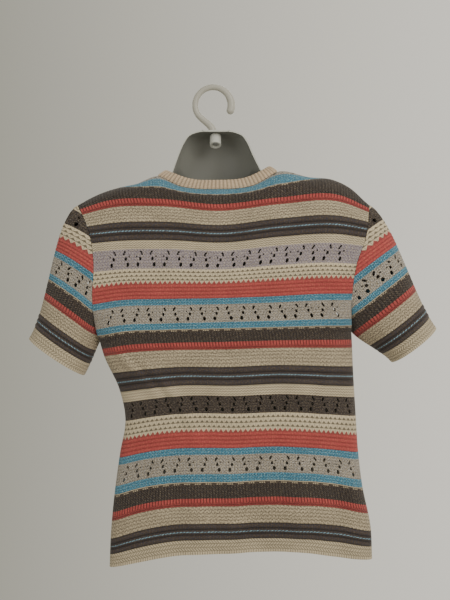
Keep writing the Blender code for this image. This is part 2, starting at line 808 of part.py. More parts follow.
def sleeve_rows(sleeve, half):
    """The rows of one half of a sleeve: half is +1 for the back half, -1 for the front."""
    seam = SEAM_GAP / 2 / (2 * math.pi * np.linalg.norm(sleeve.deep))
    first, last = (seam, 0.5 - seam) if half > 0 else (1 - seam, 0.5 + seam)
    corner = float(sleeve.full_length(first)) - ARMHOLE_GAP
    full = float(sleeve.full_length(last)) - ARMHOLE_GAP
    lead_turns = armhole_turns(sleeve, half)
    rows = []

    def start_at(length):
        if length <= corner:
            return first
        found = float(sleeve.turn_at_length(length + ARMHOLE_GAP, half))
        return max(found, first) if half > 0 else min(found, first)

    def leads_to(start):
        """The armhole's points between the last row's start and this one."""
        passed = rows[-1].along[rows[-1].edge - 1] if rows else start
        low, high = sorted((passed, start))
        return [t for t in lead_turns if low + LEAD_MARGIN < t < high - LEAD_MARGIN]

    def make(length, raised=0.0, inside=True, inner_turns=None, gaps=()):
        if rows and rows[-1].up[-1] < corner < length:
            make(corner)
        start = start_at(length)
        leads = leads_to(start)
        if inner_turns is None:
            count = max(CAP_COLUMNS, round(SLEEVE_COLUMNS * abs(last - start) / 0.5))
            part = np.linspace(0.0, 1.0, count + 1)[1:]
            inner_turns = start + (last - start) * (part + ease(part)) / 2
        lengths = [float(sleeve.full_length(turn)) - ARMHOLE_GAP for turn in leads]
        ups = lengths + [length] * (1 + len(inner_turns))
        turns = np.concatenate([leads, [start], inner_turns])
        rows.append(Row(turns, ups, raised, len(leads) + 1, gaps, inside))

    make(0.0)
    low = 0.0
    for name, height in SLEEVE_BANDS:
        high = min(low + height, full - SLEEVE_CROWN)
        if abs(high - corner) < ROW_MARGIN:
            high = corner
        if name == "ridged":
            steps = 2 * RIDGES_PER_BAND
            for k in range(1, steps + 1):
                raised = RIDGE_RAISE if k % 2 else 0.0
                make(low + (high - low) * k / steps, raised, k == steps)
        elif name == "lace":
            sleeve_lace(sleeve, half, low, last, start_at, make)
            make(high)
        else:
            make(high)
        low = high
    leads = leads_to(last)
    lengths = [float(sleeve.full_length(turn)) - ARMHOLE_GAP for turn in leads]
    rows.append(Row(leads + [last], lengths + [full], edge=len(leads) + 1))
    return rows


def armhole_turns(sleeve, half):
    """Points of this half of the armhole, in order from the underarm, some way apart."""
    turns, points = sleeve.armhole
    if half < 0:
        turns, points = turns[::-1], points[::-1]
    chosen = [0]
    for i in range(1, len(turns)):
        if abs(turns[i] - 0.5) < 1e-9:
            break
        if np.linalg.norm(points[i] - points[chosen[-1]]) >= ARMHOLE_SPACING:
            chosen.append(i)
    return turns[chosen[1:]]


def sleeve_lace(sleeve, half, low, last, start_at, make):
    """Two rows that hold the corners of the sleeve's row of gaps."""
    gap = LACE_GAP
    middle = low + gap["up"]
    ring = sleeve.base(np.linspace(0, 1, LINE_SAMPLES), np.full(LINE_SAMPLES, middle))
    around = np.linalg.norm(np.diff(ring, axis=0), axis=1).sum()
    half_turn = gap["wide"] / 2 / around
    start = start_at(middle + gap["tall"] / 2)
    low_end, high_end = sorted((start, last))
    places = gap_places(SLEEVE_LACE_PAIRS, gap, low_end + 4 * half_turn, high_end - 4 * half_turn)
    inner, cut = [], []

    def fill(here, there):
        count = int(abs(there - here) / LACE_FILL)
        inner.extend(np.linspace(here, there, count + 2)[1:-1])

    here = start
    for place in sorted(places, reverse=half < 0):
        fill(here, place - half * half_turn)
        cut.append(len(inner) + 1)
        inner.extend([place - half * half_turn, place + half * half_turn])
        here = inner[-1]
    fill(here, last)
    inner.append(last)
    make(middle - gap["tall"] / 2, inner_turns=np.array(inner), gaps=cut)
    make(middle + gap["tall"] / 2, inner_turns=np.array(inner))


# Pieces


def make_panels():
    """The back and the front. Returns the courses of their rows along the armhole."""
    for side, name in ((1, "back"), (-1, "front")):
        rows = panel_rows(side)
        courses = [row.up[0] for row in rows if row.up[0] > UNDERARM_COURSE + 1e-6]

        def at(across, course, out, side=side):
            points = body_point(side, across, course, out)
            edge = 1 - np.abs(across) < 1e-6
            points[edge, 1] += side * SEAM_GAP / 2
            return points

        wall_from_rows(name, rows, at, WALL, "knit cream")
    return np.array([UNDERARM_COURSE] + courses[:-1] + [TOP_COURSE])


def make_sleeves(courses):
    for which, sizes in SLEEVES.items():
        sleeve = Sleeve(sizes, courses)
        for half, part in ((1, "back"), (-1, "front")):
            name = f"sleeve_{which}_{part}"
            colour = "knit coral" if half > 0 else "knit blue"
            wall_from_rows(name, sleeve_rows(sleeve, half), sleeve.point, WALL, colour)


def neck_seam_points(count):
    """The seam all round the neck, from the left shoulder over the back, at even steps."""
    turns = np.linspace(0.0, 1.0, NECK_COLUMNS + 1)
    back = body_point(1, *neck_line(1, turns))
    front = body_point(-1, *neck_line(-1, turns[::-1]))
    loop = np.concatenate([back, front[1:]])
    part = even_steps(loop)
    at = np.arange(count) / count
    return np.stack([np.interp(at, part, loop[:, i]) for i in range(3)], axis=-1)


def make_neckband():
    """A ribbed ring that stands on the neck seam and leans in."""
    count = 2 * BAND_RIBS
    seam = neck_seam_points(count)
    rounded = sum(np.roll(seam, k, axis=0) for k in range(-BAND_ROUNDING, BAND_ROUNDING + 1))
    rounded /= 2 * BAND_ROUNDING + 1
    centre = seam.mean(axis=0)
    inward = centre - seam
    inward[:, 2] = 0.0
    inward /= np.linalg.norm(inward, axis=1, keepdims=True)
    lean = BAND_LEAN_MIDDLE + (BAND_LEAN_SHOULDER - BAND_LEAN_MIDDLE) * inward[:, 0] ** 2
    rise = inward * lean[:, None] + np.array([0.0, 0.0, 1.0])
    rise /= np.linalg.norm(rise, axis=1, keepdims=True)
    around = np.roll(seam, -1, axis=0) - np.roll(seam, 1, axis=0)
    outward = np.cross(rise, around)
    outward *= -np.sign((outward * inward).sum(axis=1))[:, None]
    outward /= np.linalg.norm(outward, axis=1, keepdims=True)
    rib = np.where(np.arange(count) % 2 == 0, BAND_RIB_RAISE, 0.0)[:, None]
    points, faces, rings = [], [], []

    def ring(up, out, every, ribbed):
        chosen = np.arange(0, count, every)
        raised = rib[chosen] if ribbed else 0.0
        foot = seam + (rounded - seam) * up / BAND_HEIGHT
        made = foot[chosen] + rise[chosen] * up + outward[chosen] * (out + raised)
        rings.append((list(range(len(points), len(points) + len(made))), chosen / count))
        points.extend(made)

    low, middle, high = NECK_SEAM_GAP, BAND_HEIGHT / 2, BAND_HEIGHT
    ring(low, 0.0, 1, True)
    ring(middle, BAND_BELLY, 1, True)
    ring(high, 0.0, 1, True)
    ring(high, -BAND_WALL, 4, False)
    ring(low, -BAND_WALL, 4, False)
    for k in range(len(rings)):
        (ids, at), (next_ids, next_at) = rings[k], rings[(k + 1) % len(rings)]
        faces += stitch_rows(
            ids + ids[:1], next_ids + next_ids[:1], np.append(at, 1.0), np.append(next_at, 1.0)
        )
    mesh_object("neckband", points, faces, "rib cream")


def under_cloth(side, across, course, below):
    """A point this far below the inner face of the cloth."""
    normal = body_outward(side, across, course)
    return body_base(side, across, course) - normal * (WALL + below)[:, None]


def form_grid(extra):
    """Points of the form, this much further in than its outer face, row by row."""
    shoulder = np.linspace(0.0, 1.0, FORM_SHOULDER_COLUMNS + 1)
    turns = np.linspace(0.0, 1.0, FORM_NECK_COLUMNS + 1)
    neck_across, neck_course = neck_line(-1, turns, FORM_NECK_LEFT, FORM_NECK_RIGHT, FORM_NECK_DIP)
    left = FORM_EDGE + (FORM_NECK_LEFT - FORM_EDGE) * shoulder
    right = FORM_NECK_RIGHT + (-FORM_EDGE - FORM_NECK_RIGHT) * shoulder
    across = np.concatenate([left[:-1], neck_across, right[1:]])
    top = np.full(len(across), TOP_COURSE)
    top[FORM_SHOULDER_COLUMNS : FORM_SHOULDER_COLUMNS + FORM_NECK_COLUMNS + 1] = neck_course
    foot_across = np.linspace(FORM_EDGE, -FORM_EDGE, len(across))
    from_neck = np.maximum(across - FORM_NECK_LEFT, FORM_NECK_RIGHT - across)
    by_neck = FORM_NECK_CLEAR * ease(1 - from_neck / FORM_NECK_CLEAR_SPAN)
    rows = []
    for k in range(FORM_ROWS + 1):
        part = k / FORM_ROWS
        here = foot_across + (across - foot_across) * ease(part)
        course = FORM_FOOT_COURSE + (top - FORM_FOOT_COURSE) * part
        near = ease((course - FORM_SEAT_COURSES[0]) / (FORM_SEAT_COURSES[1] - FORM_SEAT_COURSES[0]))
        clear = FORM_CLEAR + (FORM_SEAT_CLEAR - FORM_CLEAR) * near + by_neck * near
        rows.append(under_cloth(-1, here, course, clear + extra))
    past = np.full(len(across), TOP_COURSE - FORM_OVER_RIDGE)
    rim = under_cloth(1, across, past, FORM_RIM_CLEAR + by_neck + extra)
    rings = []
    for height, drop, half, depth in FORM_NECK_RINGS:
        rings.append(neck_ring(turns, height, drop, half - extra, depth - extra))
    lid = FORM_NECK_RINGS[-1]
    for k in range(1, CAP_ROWS + 1):
        part = 1 - k / CAP_ROWS
        rings.append(neck_ring(turns, lid[0] - extra, 0.0, lid[2] - extra, lid[3] - extra, part))
    rings[-CAP_ROWS - 1][:, 2] -= extra
    rings[-CAP_ROWS - 2][:, 2] -= extra * CAP_EDGE_SHARE
    return rows, rim, rings


def neck_ring(turns, height, drop, half, depth, share=1.0):
    angle = math.pi * turns
    x = FORM_NECK_X + half * np.cos(angle)
    y = FORM_NECK_RIM_Y - (FORM_NECK_RIM_Y + depth) * np.sin(angle) * share
    z = height - drop * np.sin(angle)
    return np.stack([x, y, z], axis=-1)


def form_layer(extra):
    """One face of the form: its points and its cells, as corners."""
    rows, rim, rings = form_grid(extra)
    first, last = FORM_SHOULDER_COLUMNS, FORM_SHOULDER_COLUMNS + FORM_NECK_COLUMNS
    over = rim.copy()
    over[first : last + 1] = rings[0]
    over[first] = (rim[first] + rings[0][0]) / 2
    over[last] = (rim[last] + rings[0][-1]) / 2
    points, lines, cells = [], [], []
    for line in rows + [over] + rings[1:]:
        lines.append(list(range(len(points), len(points) + len(line))))
        points.extend(line)
    for low, high in zip(lines, lines[1:]):
        if len(low) > len(high):
            low = low[first : last + 1]
        for c in range(len(low) - 1):
            cells.append((low[c], low[c + 1], high[c + 1], high[c]))
    return points, cells


def make_form():
    """The hollow-backed torso: a front shell, shoulders that turn over, a neck and its cap."""
    outer, cells = form_layer(0.0)
    inner, _ = form_layer(FORM_WALL)
    shift = len(outer)
    faces, rim = [], set()
    for ring in cells:
        faces.append(ring)
        faces.append(tuple(i + shift for i in reversed(ring)))
        for a, b in zip(ring, ring[1:] + ring[:1]):
            if (b, a) in rim:
                rim.remove((b, a))
            else:
                rim.add((a, b))
    for a, b in sorted(rim):
        faces.append((b, a, a + shift, b + shift))
    mesh_object("form", outer + inner, faces, "form plastic")


def hook_path():
    """The middle of the hook's rod and the rod's half thickness at each ring."""
    radius = HOOK_INSIDE_RADIUS + HOOK_ROD_RADIUS
    centre_z = -HOOK_INSIDE_RADIUS
    points, sizes = [], []
    for k in range(HOOK_ARC_RINGS + 1):
        part = k / HOOK_ARC_RINGS
        angle = HOOK_TIP_TURN + (HOOK_BACK_TURN - HOOK_TIP_TURN) * part
        points.append((radius * math.cos(angle), 0.0, centre_z + radius * math.sin(angle)))
        thick = HOOK_TIP_RADIUS + (HOOK_ROD_RADIUS - HOOK_TIP_RADIUS) * float(ease(part / 0.5))
        sizes.append(thick)
    start = np.array(points[-1])
    heading = np.array([math.sin(HOOK_BACK_TURN), 0.0, -math.cos(HOOK_BACK_TURN)])
    end = np.array(HOOK_FOOT)
    reach = np.linalg.norm(end - start)
    for k in range(1, HOOK_STEM_RINGS + 1):
        t = k / HOOK_STEM_RINGS
        pull = heading * reach * HOOK_STEM_PULL
        land = np.array(HOOK_FOOT_LEAN) * reach * HOOK_FOOT_PULL
        point = (
            start * (1 + 2 * t) * (1 - t) ** 2
            + pull * t * (1 - t) ** 2
            + end * (3 - 2 * t) * t**2
            - land * (1 - t) * t**2
        )
        points.append(tuple(point))
        sizes.append(HOOK_ROD_RADIUS * (1 + HOOK_FOOT_SPREAD * t))
    return np.array(points), np.array(sizes)


def make_hook():
    """A round rod swept along the hook, with a rounded tip and a flat foot on the cap."""
    path, sizes = hook_path()
    headings = np.gradient(path, axis=0)
    headings /= np.linalg.norm(headings, axis=1, keepdims=True)
    headings[-1] = (0.0, 0.0, -1.0)
    depth_way = np.array([0.0, 1.0, 0.0])
    points, faces, rings = [], [], []

    def ring(centre, heading, size):
        across = np.cross(heading, depth_way)
        ids = []
        for k in range(HOOK_SIDES):
            angle = 2 * math.pi * k / HOOK_SIDES
            ids.append(len(points))
            points.append(centre + size * (across * math.cos(angle) + depth_way * math.sin(angle)))
        rings.append(ids)

    for back, share in HOOK_TIP_ROUNDING:
        ring(path[0] - headings[0] * sizes[0] * back, headings[0], sizes[0] * share)
    for centre, heading, size in zip(path, headings, sizes):
        ring(centre, heading, size)
    for low, high in zip(rings, rings[1:]):
        for k in range(HOOK_SIDES):
            n = (k + 1) % HOOK_SIDES
            faces.append((low[k], low[n], high[n], high[k]))
    faces += [tuple(rings[0]), tuple(rings[-1])]
    mesh_object("hook", points, faces, "hook plastic")


def turned(name, profile, colour):
    """A closed shape turned round the boss's axis from (radius, height) points, end to end."""
    lean = np.array([0.0, math.sin(BOSS_TILT), -math.cos(BOSS_TILT)])
    side = np.array([1.0, 0.0, 0.0])
    up = np.cross(lean, side)
    points, faces = [], []
    for radius, height in profile:
        for k in range(BOSS_SIDES):
            angle = 2 * math.pi * k / BOSS_SIDES
            around = side * math.cos(angle) + up * math.sin(angle)
            points.append(np.array(BOSS_TOP) + lean * height + radius * around)
    for low in range(0, len(points) - BOSS_SIDES, BOSS_SIDES):
        high = low + BOSS_SIDES
        for k in range(BOSS_SIDES):
            n = (k + 1) % BOSS_SIDES
            faces.append((low + k, low + n, high + n, high + k))
    mesh_object(name, points, faces, colour)


def make_boss():
    end = BOSS_LENGTH
    floor = BOSS_LENGTH - BOSS_BORE_DEPTH
    turned(
        "hook_boss",
        (
            (0.0, 0.0),
            (BOSS_RADIUS, 0.0),
            (BOSS_RADIUS, end),
            (BOSS_BORE_RADIUS, end),
            (BOSS_BORE_RADIUS, floor),
            (0.0, floor),
        ),
        "form plastic",
    )
    head = floor + SEAM_GAP
    turned(
        "boss_screw",
        (
            (0.0, head),
            (SCREW_RADIUS, head),
            (SCREW_RIM, head + SCREW_HEAD),
            (0.0, head + SCREW_CROWN),
        ),
        "screw steel",
    )


def main():
    for old in list(bpy.data.objects):
        bpy.data.objects.remove(old, do_unlink=True)
    courses = make_panels()
    make_sleeves(courses)
    make_neckband()
    make_form()
    make_hook()
    make_boss()


main()
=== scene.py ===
"""How the striped openwork knit top looks on its hollow-backed hanging form.

Metres, +Z up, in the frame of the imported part: the origin is the top of the inside of the
hook, the wearer's front faces -Y and the wearer's left is +X. The cloth is made again from the
part's own sizes, with finer rows, with relief on each knit and with every lace hole cut.
"""

import math
from functools import lru_cache

import bmesh
import bpy
import numpy as np
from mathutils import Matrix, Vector


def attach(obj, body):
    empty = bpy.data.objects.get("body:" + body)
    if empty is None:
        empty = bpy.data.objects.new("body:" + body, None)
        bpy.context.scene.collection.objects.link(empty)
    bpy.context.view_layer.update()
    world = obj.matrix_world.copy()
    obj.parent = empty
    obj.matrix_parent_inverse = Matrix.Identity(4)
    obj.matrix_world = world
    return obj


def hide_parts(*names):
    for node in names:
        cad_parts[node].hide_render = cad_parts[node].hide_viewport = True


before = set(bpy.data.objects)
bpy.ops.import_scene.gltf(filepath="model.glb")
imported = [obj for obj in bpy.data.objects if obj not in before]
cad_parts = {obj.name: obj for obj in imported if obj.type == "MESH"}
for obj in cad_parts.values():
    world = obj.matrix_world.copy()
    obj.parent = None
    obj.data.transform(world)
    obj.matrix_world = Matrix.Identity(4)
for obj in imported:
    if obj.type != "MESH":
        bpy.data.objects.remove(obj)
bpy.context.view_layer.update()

# Knitted wall
WALL = 0.0022
SEAM_GAP = 0.0003
NECK_SEAM_GAP = 0.0006
EDGE_SHARE = 2e-7
NORMAL_STEP = 1e-4
LINE_SAMPLES = 401
RIDGE_RAISE = 0.0011
RIDGES_PER_BAND = 3

# Body, by course
TOP_COURSE = 0.555
RIDGE_COURSE = 0.507
YOKE_COURSE = 0.481
UNDERARM_COURSE = 0.3140
WRAP_COURSES = 0.070
SIDE_POWER = {1: 2.8, -1: 2.3}
ARMHOLE_HALF_DEPTH = {1: 0.040, -1: 0.045}
ARMHOLE_LEAN = 0.75
ARMHOLE_ROUNDNESS = 0.8

# Height of a course at places across the body, from the left edge (0) to the right edge (1)
STATIONS = (0.0, 0.10, 0.27, 0.48, 0.69, 0.90, 1.0)
COURSE_HEIGHTS = (
    # course, then z at each station
    (0.000, -0.722, -0.711, -0.697, -0.694, -0.691, -0.704, -0.710),
    (0.034, -0.691, -0.676, -0.662, -0.661, -0.659, -0.669, -0.679),
    (0.100, -0.619, -0.605, -0.594, -0.593, -0.590, -0.599, -0.608),
    (0.175, -0.531, -0.522, -0.514, -0.514, -0.512, -0.518, -0.523),
    (0.258, -0.440, -0.434, -0.428, -0.428, -0.425, -0.428, -0.430),
    (0.325, -0.370, -0.363, -0.360, -0.358, -0.356, -0.354, -0.354),
    (0.373, -0.320, -0.314, -0.312, -0.311, -0.308, -0.304, -0.304),
    (0.436, -0.248, -0.245, -0.244, -0.247, -0.239, -0.235, -0.239),
    (0.470, -0.210, -0.205, -0.204, -0.209, -0.199, -0.195, -0.203),
    (0.507, -0.1785, -0.165, -0.163, -0.172, -0.162, -0.158, -0.1775),
)
# Line over the shoulders: place across, from the left edge to the right edge, then height
RIDGE_LINE = (
    (0.00, -0.1760), (0.04, -0.1660), (0.08, -0.1580), (0.14, -0.1495), (0.20, -0.1435),
    (0.27, -0.1315), (0.36, -0.1465), (0.48, -0.1490), (0.60, -0.1445), (0.69, -0.1245),
    (0.80, -0.1335), (0.88, -0.1375), (0.94, -0.1505), (1.00, -0.1755),
)

# Outline of the body seen from the front: height, then the edge's distance from the middle
LEFT_EDGE = (
    (-0.722, 0.157), (-0.672, 0.155), (-0.608, 0.149), (-0.550, 0.141), (-0.499, 0.133),
    (-0.454, 0.142), (-0.401, 0.166), (-0.370, 0.174), (-0.320, 0.178), (-0.261, 0.176),
    (-0.210, 0.186), (-0.174, 0.204),
)
RIGHT_EDGE = (
    (-0.708, 0.241), (-0.664, 0.239), (-0.599, 0.226), (-0.550, 0.220), (-0.491, 0.216),
    (-0.424, 0.212), (-0.377, 0.210), (-0.314, 0.206), (-0.266, 0.212), (-0.230, 0.225),
    (-0.174, 0.234),
)

# Depth of the body by course: how far the middle of the back and of the front lie out
DEPTHS = (
    # course, back, front
    (0.000, 0.036, 0.095),
    (0.150, 0.040, 0.094),
    (0.260, 0.043, 0.100),
    (0.350, 0.046, 0.111),
    (0.430, 0.047, 0.101),
    (0.480, 0.046, 0.083),
    (0.507, 0.045, 0.076),
)

FOLD_END = 0.10

# Largest folds: side, across, course at the middle, half width across, half height, rise, lean
FOLDS = (
    (1, 0.80, 0.275, 0.055, 0.050, 0.0050, 2.6),
    (1, 0.70, 0.255, 0.050, 0.060, -0.0040, 3.0),
    (1, 0.58, 0.235, 0.070, 0.080, 0.0035, 3.2),
    (1, -0.72, 0.235, 0.060, 0.070, 0.0035, -1.8),
    (1, 0.34, 0.060, 0.110, 0.120, 0.0045, 0.3),
    (1, -0.08, 0.040, 0.100, 0.110, -0.0035, -0.2),
    (1, -0.42, 0.070, 0.110, 0.130, 0.0045, -0.4),
    (1, -0.76, 0.050, 0.070, 0.120, -0.0030, -0.4),
    (-1, 0.74, 0.280, 0.070, 0.070, 0.0045, 2.4),
    (-1, -0.70, 0.265, 0.070, 0.080, 0.0040, -2.2),
    (-1, 0.40, 0.080, 0.120, 0.130, 0.0050, 0.4),
    (-1, 0.02, 0.050, 0.100, 0.120, -0.0035, 0.1),
    (-1, -0.36, 0.075, 0.120, 0.140, 0.0050, -0.3),
)

# Lace: pairs of columns that lean together, in one band of the body and round a sleeve
BODY_LACE_PAIRS = 10
SLEEVE_LACE_PAIRS = 8

# Neck: where the seam meets the shoulders, across, and how many courses it dips
NECK_LEFT = 0.455
NECK_RIGHT = -0.375
NECK_DIP = {1: 0.0210, -1: 0.0660}
NECK_SCOOP_POWER = {1: 0.55, -1: 0.75}
BAND_HEIGHT = 0.0155
BAND_LEAN_SHOULDER = 0.90
BAND_LEAN_MIDDLE = 0.35
BAND_ROUNDING = 9
BAND_RIBS = 92
BAND_RIB_RAISE = 0.0005

# Sleeves: cuff centre, its half width along the cuff and half depth, the way the cuff runs
SLEEVES = {
    "left": {
        "sign": 1,
        "centre": (0.2375, 0.000, -0.405),
        "half_width": 0.050,
        "half_depth": 0.037,
        "cuff_run": (0.83, 0.56),
    },
    "right": {
        "sign": -1,
        "centre": (-0.3045, 0.000, -0.387),
        "half_width": 0.0425,
        "half_depth": 0.041,
        "cuff_run": (-0.78, 0.62),
    },
}
ARMHOLE_GAP = 0.0005
SLEEVE_TURN_STEPS = 128
SLEEVE_LENGTH_STEPS = 96
SEAM_TURN = 0.01
SLEEVE_NORMAL_STEP = 1e-3
SLEEVE_CUFF_PULL = 0.75
SLEEVE_SHOULDER_PULL = 0.60
UNDERARM_RISE = (-0.50, 0.87)
SHOULDER_RISE = (-0.86, 0.42)

# Hanging form
FORM_WALL = 0.0025
FORM_CLEAR = 0.0055
FORM_SEAT_CLEAR = 0.0009
FORM_RIM_CLEAR = 0.0020
FORM_NECK_CLEAR = 0.0016
FORM_NECK_CLEAR_SPAN = 0.22
FORM_SEAT_COURSES = (0.492, 0.530)
FORM_FOOT_COURSE = 0.085
FORM_EDGE = 0.93
FORM_OVER_RIDGE = 0.007
FORM_NECK_LEFT = 0.365
FORM_NECK_RIGHT = -0.285
FORM_NECK_DIP = 0.032
FORM_NECK_X = -0.004
FORM_NECK_RIM_Y = 0.0075
FORM_SHOULDER_COLUMNS = 8
FORM_NECK_COLUMNS = 10
FORM_ROWS = 9
# Rings of the neck: height of the rim, drop at the front, half width, depth of the front
FORM_NECK_RINGS = (
    (-0.1110, 0.030, 0.0620, 0.054),
    (-0.0990, 0.014, 0.0578, 0.049),
    (-0.0835, 0.004, 0.0510, 0.044),
    (-0.0710, 0.001, 0.0425, 0.037),
    (-0.0640, 0.000, 0.0300, 0.028),
    (-0.0620, 0.000, 0.0210, 0.021),
)
CAP_ROWS = 2
CAP_EDGE_SHARE = 0.7

# Hook
HOOK_INSIDE_RADIUS = 0.0230
HOOK_ROD_RADIUS = 0.0044
HOOK_TIP_RADIUS = 0.0060
HOOK_TIP_TURN = math.radians(197.0)
HOOK_BACK_TURN = math.radians(-24.0)
HOOK_FOOT = (0.0008, 0.0, -0.0617)
HOOK_ARC_RINGS = 54
HOOK_STEM_RINGS = 24
HOOK_SIDES = 28
HOOK_TIP_PART = 0.5
HOOK_TIP_ROUNDING = ((0.96, 0.26), (0.85, 0.52), (0.68, 0.73), (0.45, 0.89), (0.20, 0.98))
HOOK_STEM_PULL = 0.9
HOOK_FOOT_PULL = 0.8
HOOK_FOOT_LEAN = (-0.15, 0.0, -1.0)
HOOK_FOOT_SPREAD = 0.25

# Boss under the neck cap, and its screw
BOSS_RADIUS = 0.0086
BOSS_BORE_RADIUS = 0.0052
BOSS_LENGTH = 0.0170
BOSS_BORE_DEPTH = 0.0050
BOSS_TOP = (-0.0034, -0.0080, -0.0689)
BOSS_TILT = math.radians(28.0)
BOSS_SIDES = 56
SCREW_RADIUS = 0.0044
SCREW_RIM = 0.0040
SCREW_CROWN = 0.0020


# Outline of the boss and of the screw's head: radius, height
BOSS_SOFT = 0.0005
BOSS_OUTLINE = (
    (0.0, 0.0),
    (BOSS_RADIUS - BOSS_SOFT, 0.0),
    (BOSS_RADIUS, BOSS_SOFT),
    (BOSS_RADIUS, BOSS_LENGTH - BOSS_SOFT),
    (BOSS_RADIUS - BOSS_SOFT, BOSS_LENGTH),
    (BOSS_BORE_RADIUS + BOSS_SOFT, BOSS_LENGTH),
    (BOSS_BORE_RADIUS, BOSS_LENGTH - BOSS_SOFT),
    (BOSS_BORE_RADIUS, BOSS_LENGTH - BOSS_BORE_DEPTH),
    (0.0, BOSS_LENGTH - BOSS_BORE_DEPTH),
)
SCREW_OUTLINE = (
    (0.0, 0.0),
    (SCREW_RADIUS, 0.0),
    (SCREW_RADIUS, 0.0006),
    (SCREW_RIM, 0.0014),
    (0.0026, 0.0019),
    (0.0014, SCREW_CROWN),
    (0.0011, 0.0008),
    (0.0, 0.0008),
)

# Cross section of the neckband: share of its height, how far out, share of the ribs' relief
BAND_PROFILE = (
    (0.00, 0.0000, 0.4),
    (0.12, 0.0004, 1.0),
    (0.32, 0.0007, 1.0),
    (0.55, 0.0007, 1.0),
    (0.78, 0.0004, 1.0),
    (0.92, 0.0000, 1.0),
    (1.00, -0.0007, 0.7),
    (1.02, -0.0014, 0.4),
    (0.99, -0.0021, 0.0),
    (0.88, -0.0024, 0.0),
    (0.60, -0.0024, 0.0),
    (0.30, -0.0024, 0.0),
    (0.00, -0.0024, 0.0),
)
RIB_WIDTH = 0.0047

# Width and height of the plain stitches, and how steep their legs are
PLAIN_STITCH = (0.0048, 0.0040)
FINE_STITCH = (0.0036, 0.0030)
LEG_SLANT = 0.6

# Pitches of the stitches in the patterns, and the sizes of flecks and clouds in a yarn
WAVE_PITCH = 0.0062
COLUMN_PITCH = 0.0046
STITCH_PITCH = 0.0036
DASH_PITCH = 0.0034
ZIGZAG_PITCH = 0.0050
DASH_GROUP_PITCH = 0.0165
LOOP_HEIGHT = 0.0026
LIGHT_FLECK = (0.0026, 0.0016)
DARK_FLECK = (0.0023, 0.0015)
YARN_CLOUD = (0.045, 0.020)

# Finer rows and columns than the solids have, and the sizes that go with them
COLUMNS_PER_PAIR = 16
SLEEVE_LOOK_COLUMNS = 60
NECK_LOOK_COLUMNS = 96
RIB_STEPS = 8
FORM_FINER = 4
ARMHOLE_STEPS = 140
YOKE_BLEND = 0.020
NECK_PULL_COLUMNS = 6
CLIP_MARGIN = 0.0006
BODY_AROUND = 0.430
SLEEVE_AROUND = 0.275
LEAF_PITCH = 0.0080
LEAF_WAVE = (0.55, 0.45)
KNIT_SHARP_ANGLE = 55.0
PLASTIC_SHARP_ANGLE = 40.0

# Bands as they show, from the hem up: knit, height, rows of cells
BODY_LOOK = (
    ("hem", 0.0215, 12),
    ("ridged", 0.0240, 18),
    ("taupe", 0.0250, 11),
    ("ribbed coral", 0.0115, 6),
    ("brown", 0.0190, 8),
    ("dashes", 0.0045, 3),
    ("blue", 0.0110, 5),
    ("grey lace", 0.0270, 17),
    ("blue", 0.0095, 4),
    ("coral", 0.0220, 12),
    ("leaf", 0.0265, 14),
    ("brown lace", 0.0255, 16),
    ("garter", 0.0145, 8),
    ("ridged", 0.0265, 18),
    ("taupe", 0.0245, 11),
    ("ribbed coral", 0.0105, 5),
    ("brown", 0.0155, 7),
    ("dashes", 0.0040, 2),
    ("blue", 0.0090, 4),
    ("grey lace", 0.0270, 17),
    ("blue", 0.0090, 4),
    ("coral", 0.0210, 12),
    ("leaf", 0.0215, 12),
    ("lavender lace", 0.0260, 16),
    ("garter", 0.0110, 6),
    ("ridged", 0.0230, 18),
    ("taupe", 0.0205, 8),
    ("ribbed coral", 0.0100, 5),
    ("brown", 0.0155, 7),
    ("dashes", 0.0030, 2),
    ("blue", 0.0160, 6),
    ("grey lace", 0.0220, 8),
)
SLEEVE_LOOK = (
    ("hem", 0.0200, 10),
    ("ridged", 0.0220, 18),
    ("taupe", 0.0230, 9),
    ("ribbed coral", 0.0100, 5),
    ("brown", 0.0170, 7),
    ("dashes", 0.0040, 2),
    ("blue", 0.0090, 4),
    ("grey lace", 0.0260, 16),
    ("blue", 0.0090, 4),
    ("coral", 0.0200, 12),
    ("leaf", 0.0230, 12),
    ("brown lace", 0.0250, 15),
    ("garter", 0.0200, 8),
)

# Room between the nearest holes and the side seams, a sleeve's seams and its armhole
SIDE_CLEAR = 0.020
SLEEVE_SEAM_CLEAR = 0.004
SLEEVE_TOP_CLEAR = 0.006

# Where the relief dies out: by a seam, as a share, and by the top edge
SEAM_FADE = 0.02
TOP_FADE = 0.004

# Slope of the shoulders: how much the last rows close up, and from where on they do in full
SHOULDER_SQUEEZE = 0.15
SQUEEZE_END = 0.60

# Holes of each lace column: from the pair's middle in pair widths, up, width, height, slant
LACE_HOLES = (
    (0.194, 0.0058, 0.0048, 0.0068, 0.00),
    (0.270, 0.0133, 0.0043, 0.0055, -0.10),
    (0.320, 0.0210, 0.0037, 0.0072, -0.40),
    (0.140, 0.0166, 0.0026, 0.0030, 0.00),
)

# How far a hole draws the points inside it towards its edge, and the lowest band with holes
HOLE_CORE = 0.35
LOWEST_LACE = 0.02

# Relief of each knit: height, waves in the band
RELIEF = {
    "hem": (0.0005, 3),
    "ridged": (RIDGE_RAISE, RIDGES_PER_BAND),
    "taupe": (0.0004, 5),
    "ribbed coral": (0.0003, 1),
    "brown": (0.0004, 2),
    "dashes": (0.0003, 1),
    "blue": (0.0004, 2),
    "coral": (0.0007, 4),
    "leaf": (0.0008, 3),
    "garter": (0.0006, 3),
    "grey lace": (0.0002, 2),
    "brown lace": (0.0002, 2),
    "lavender lace": (0.0002, 2),
}

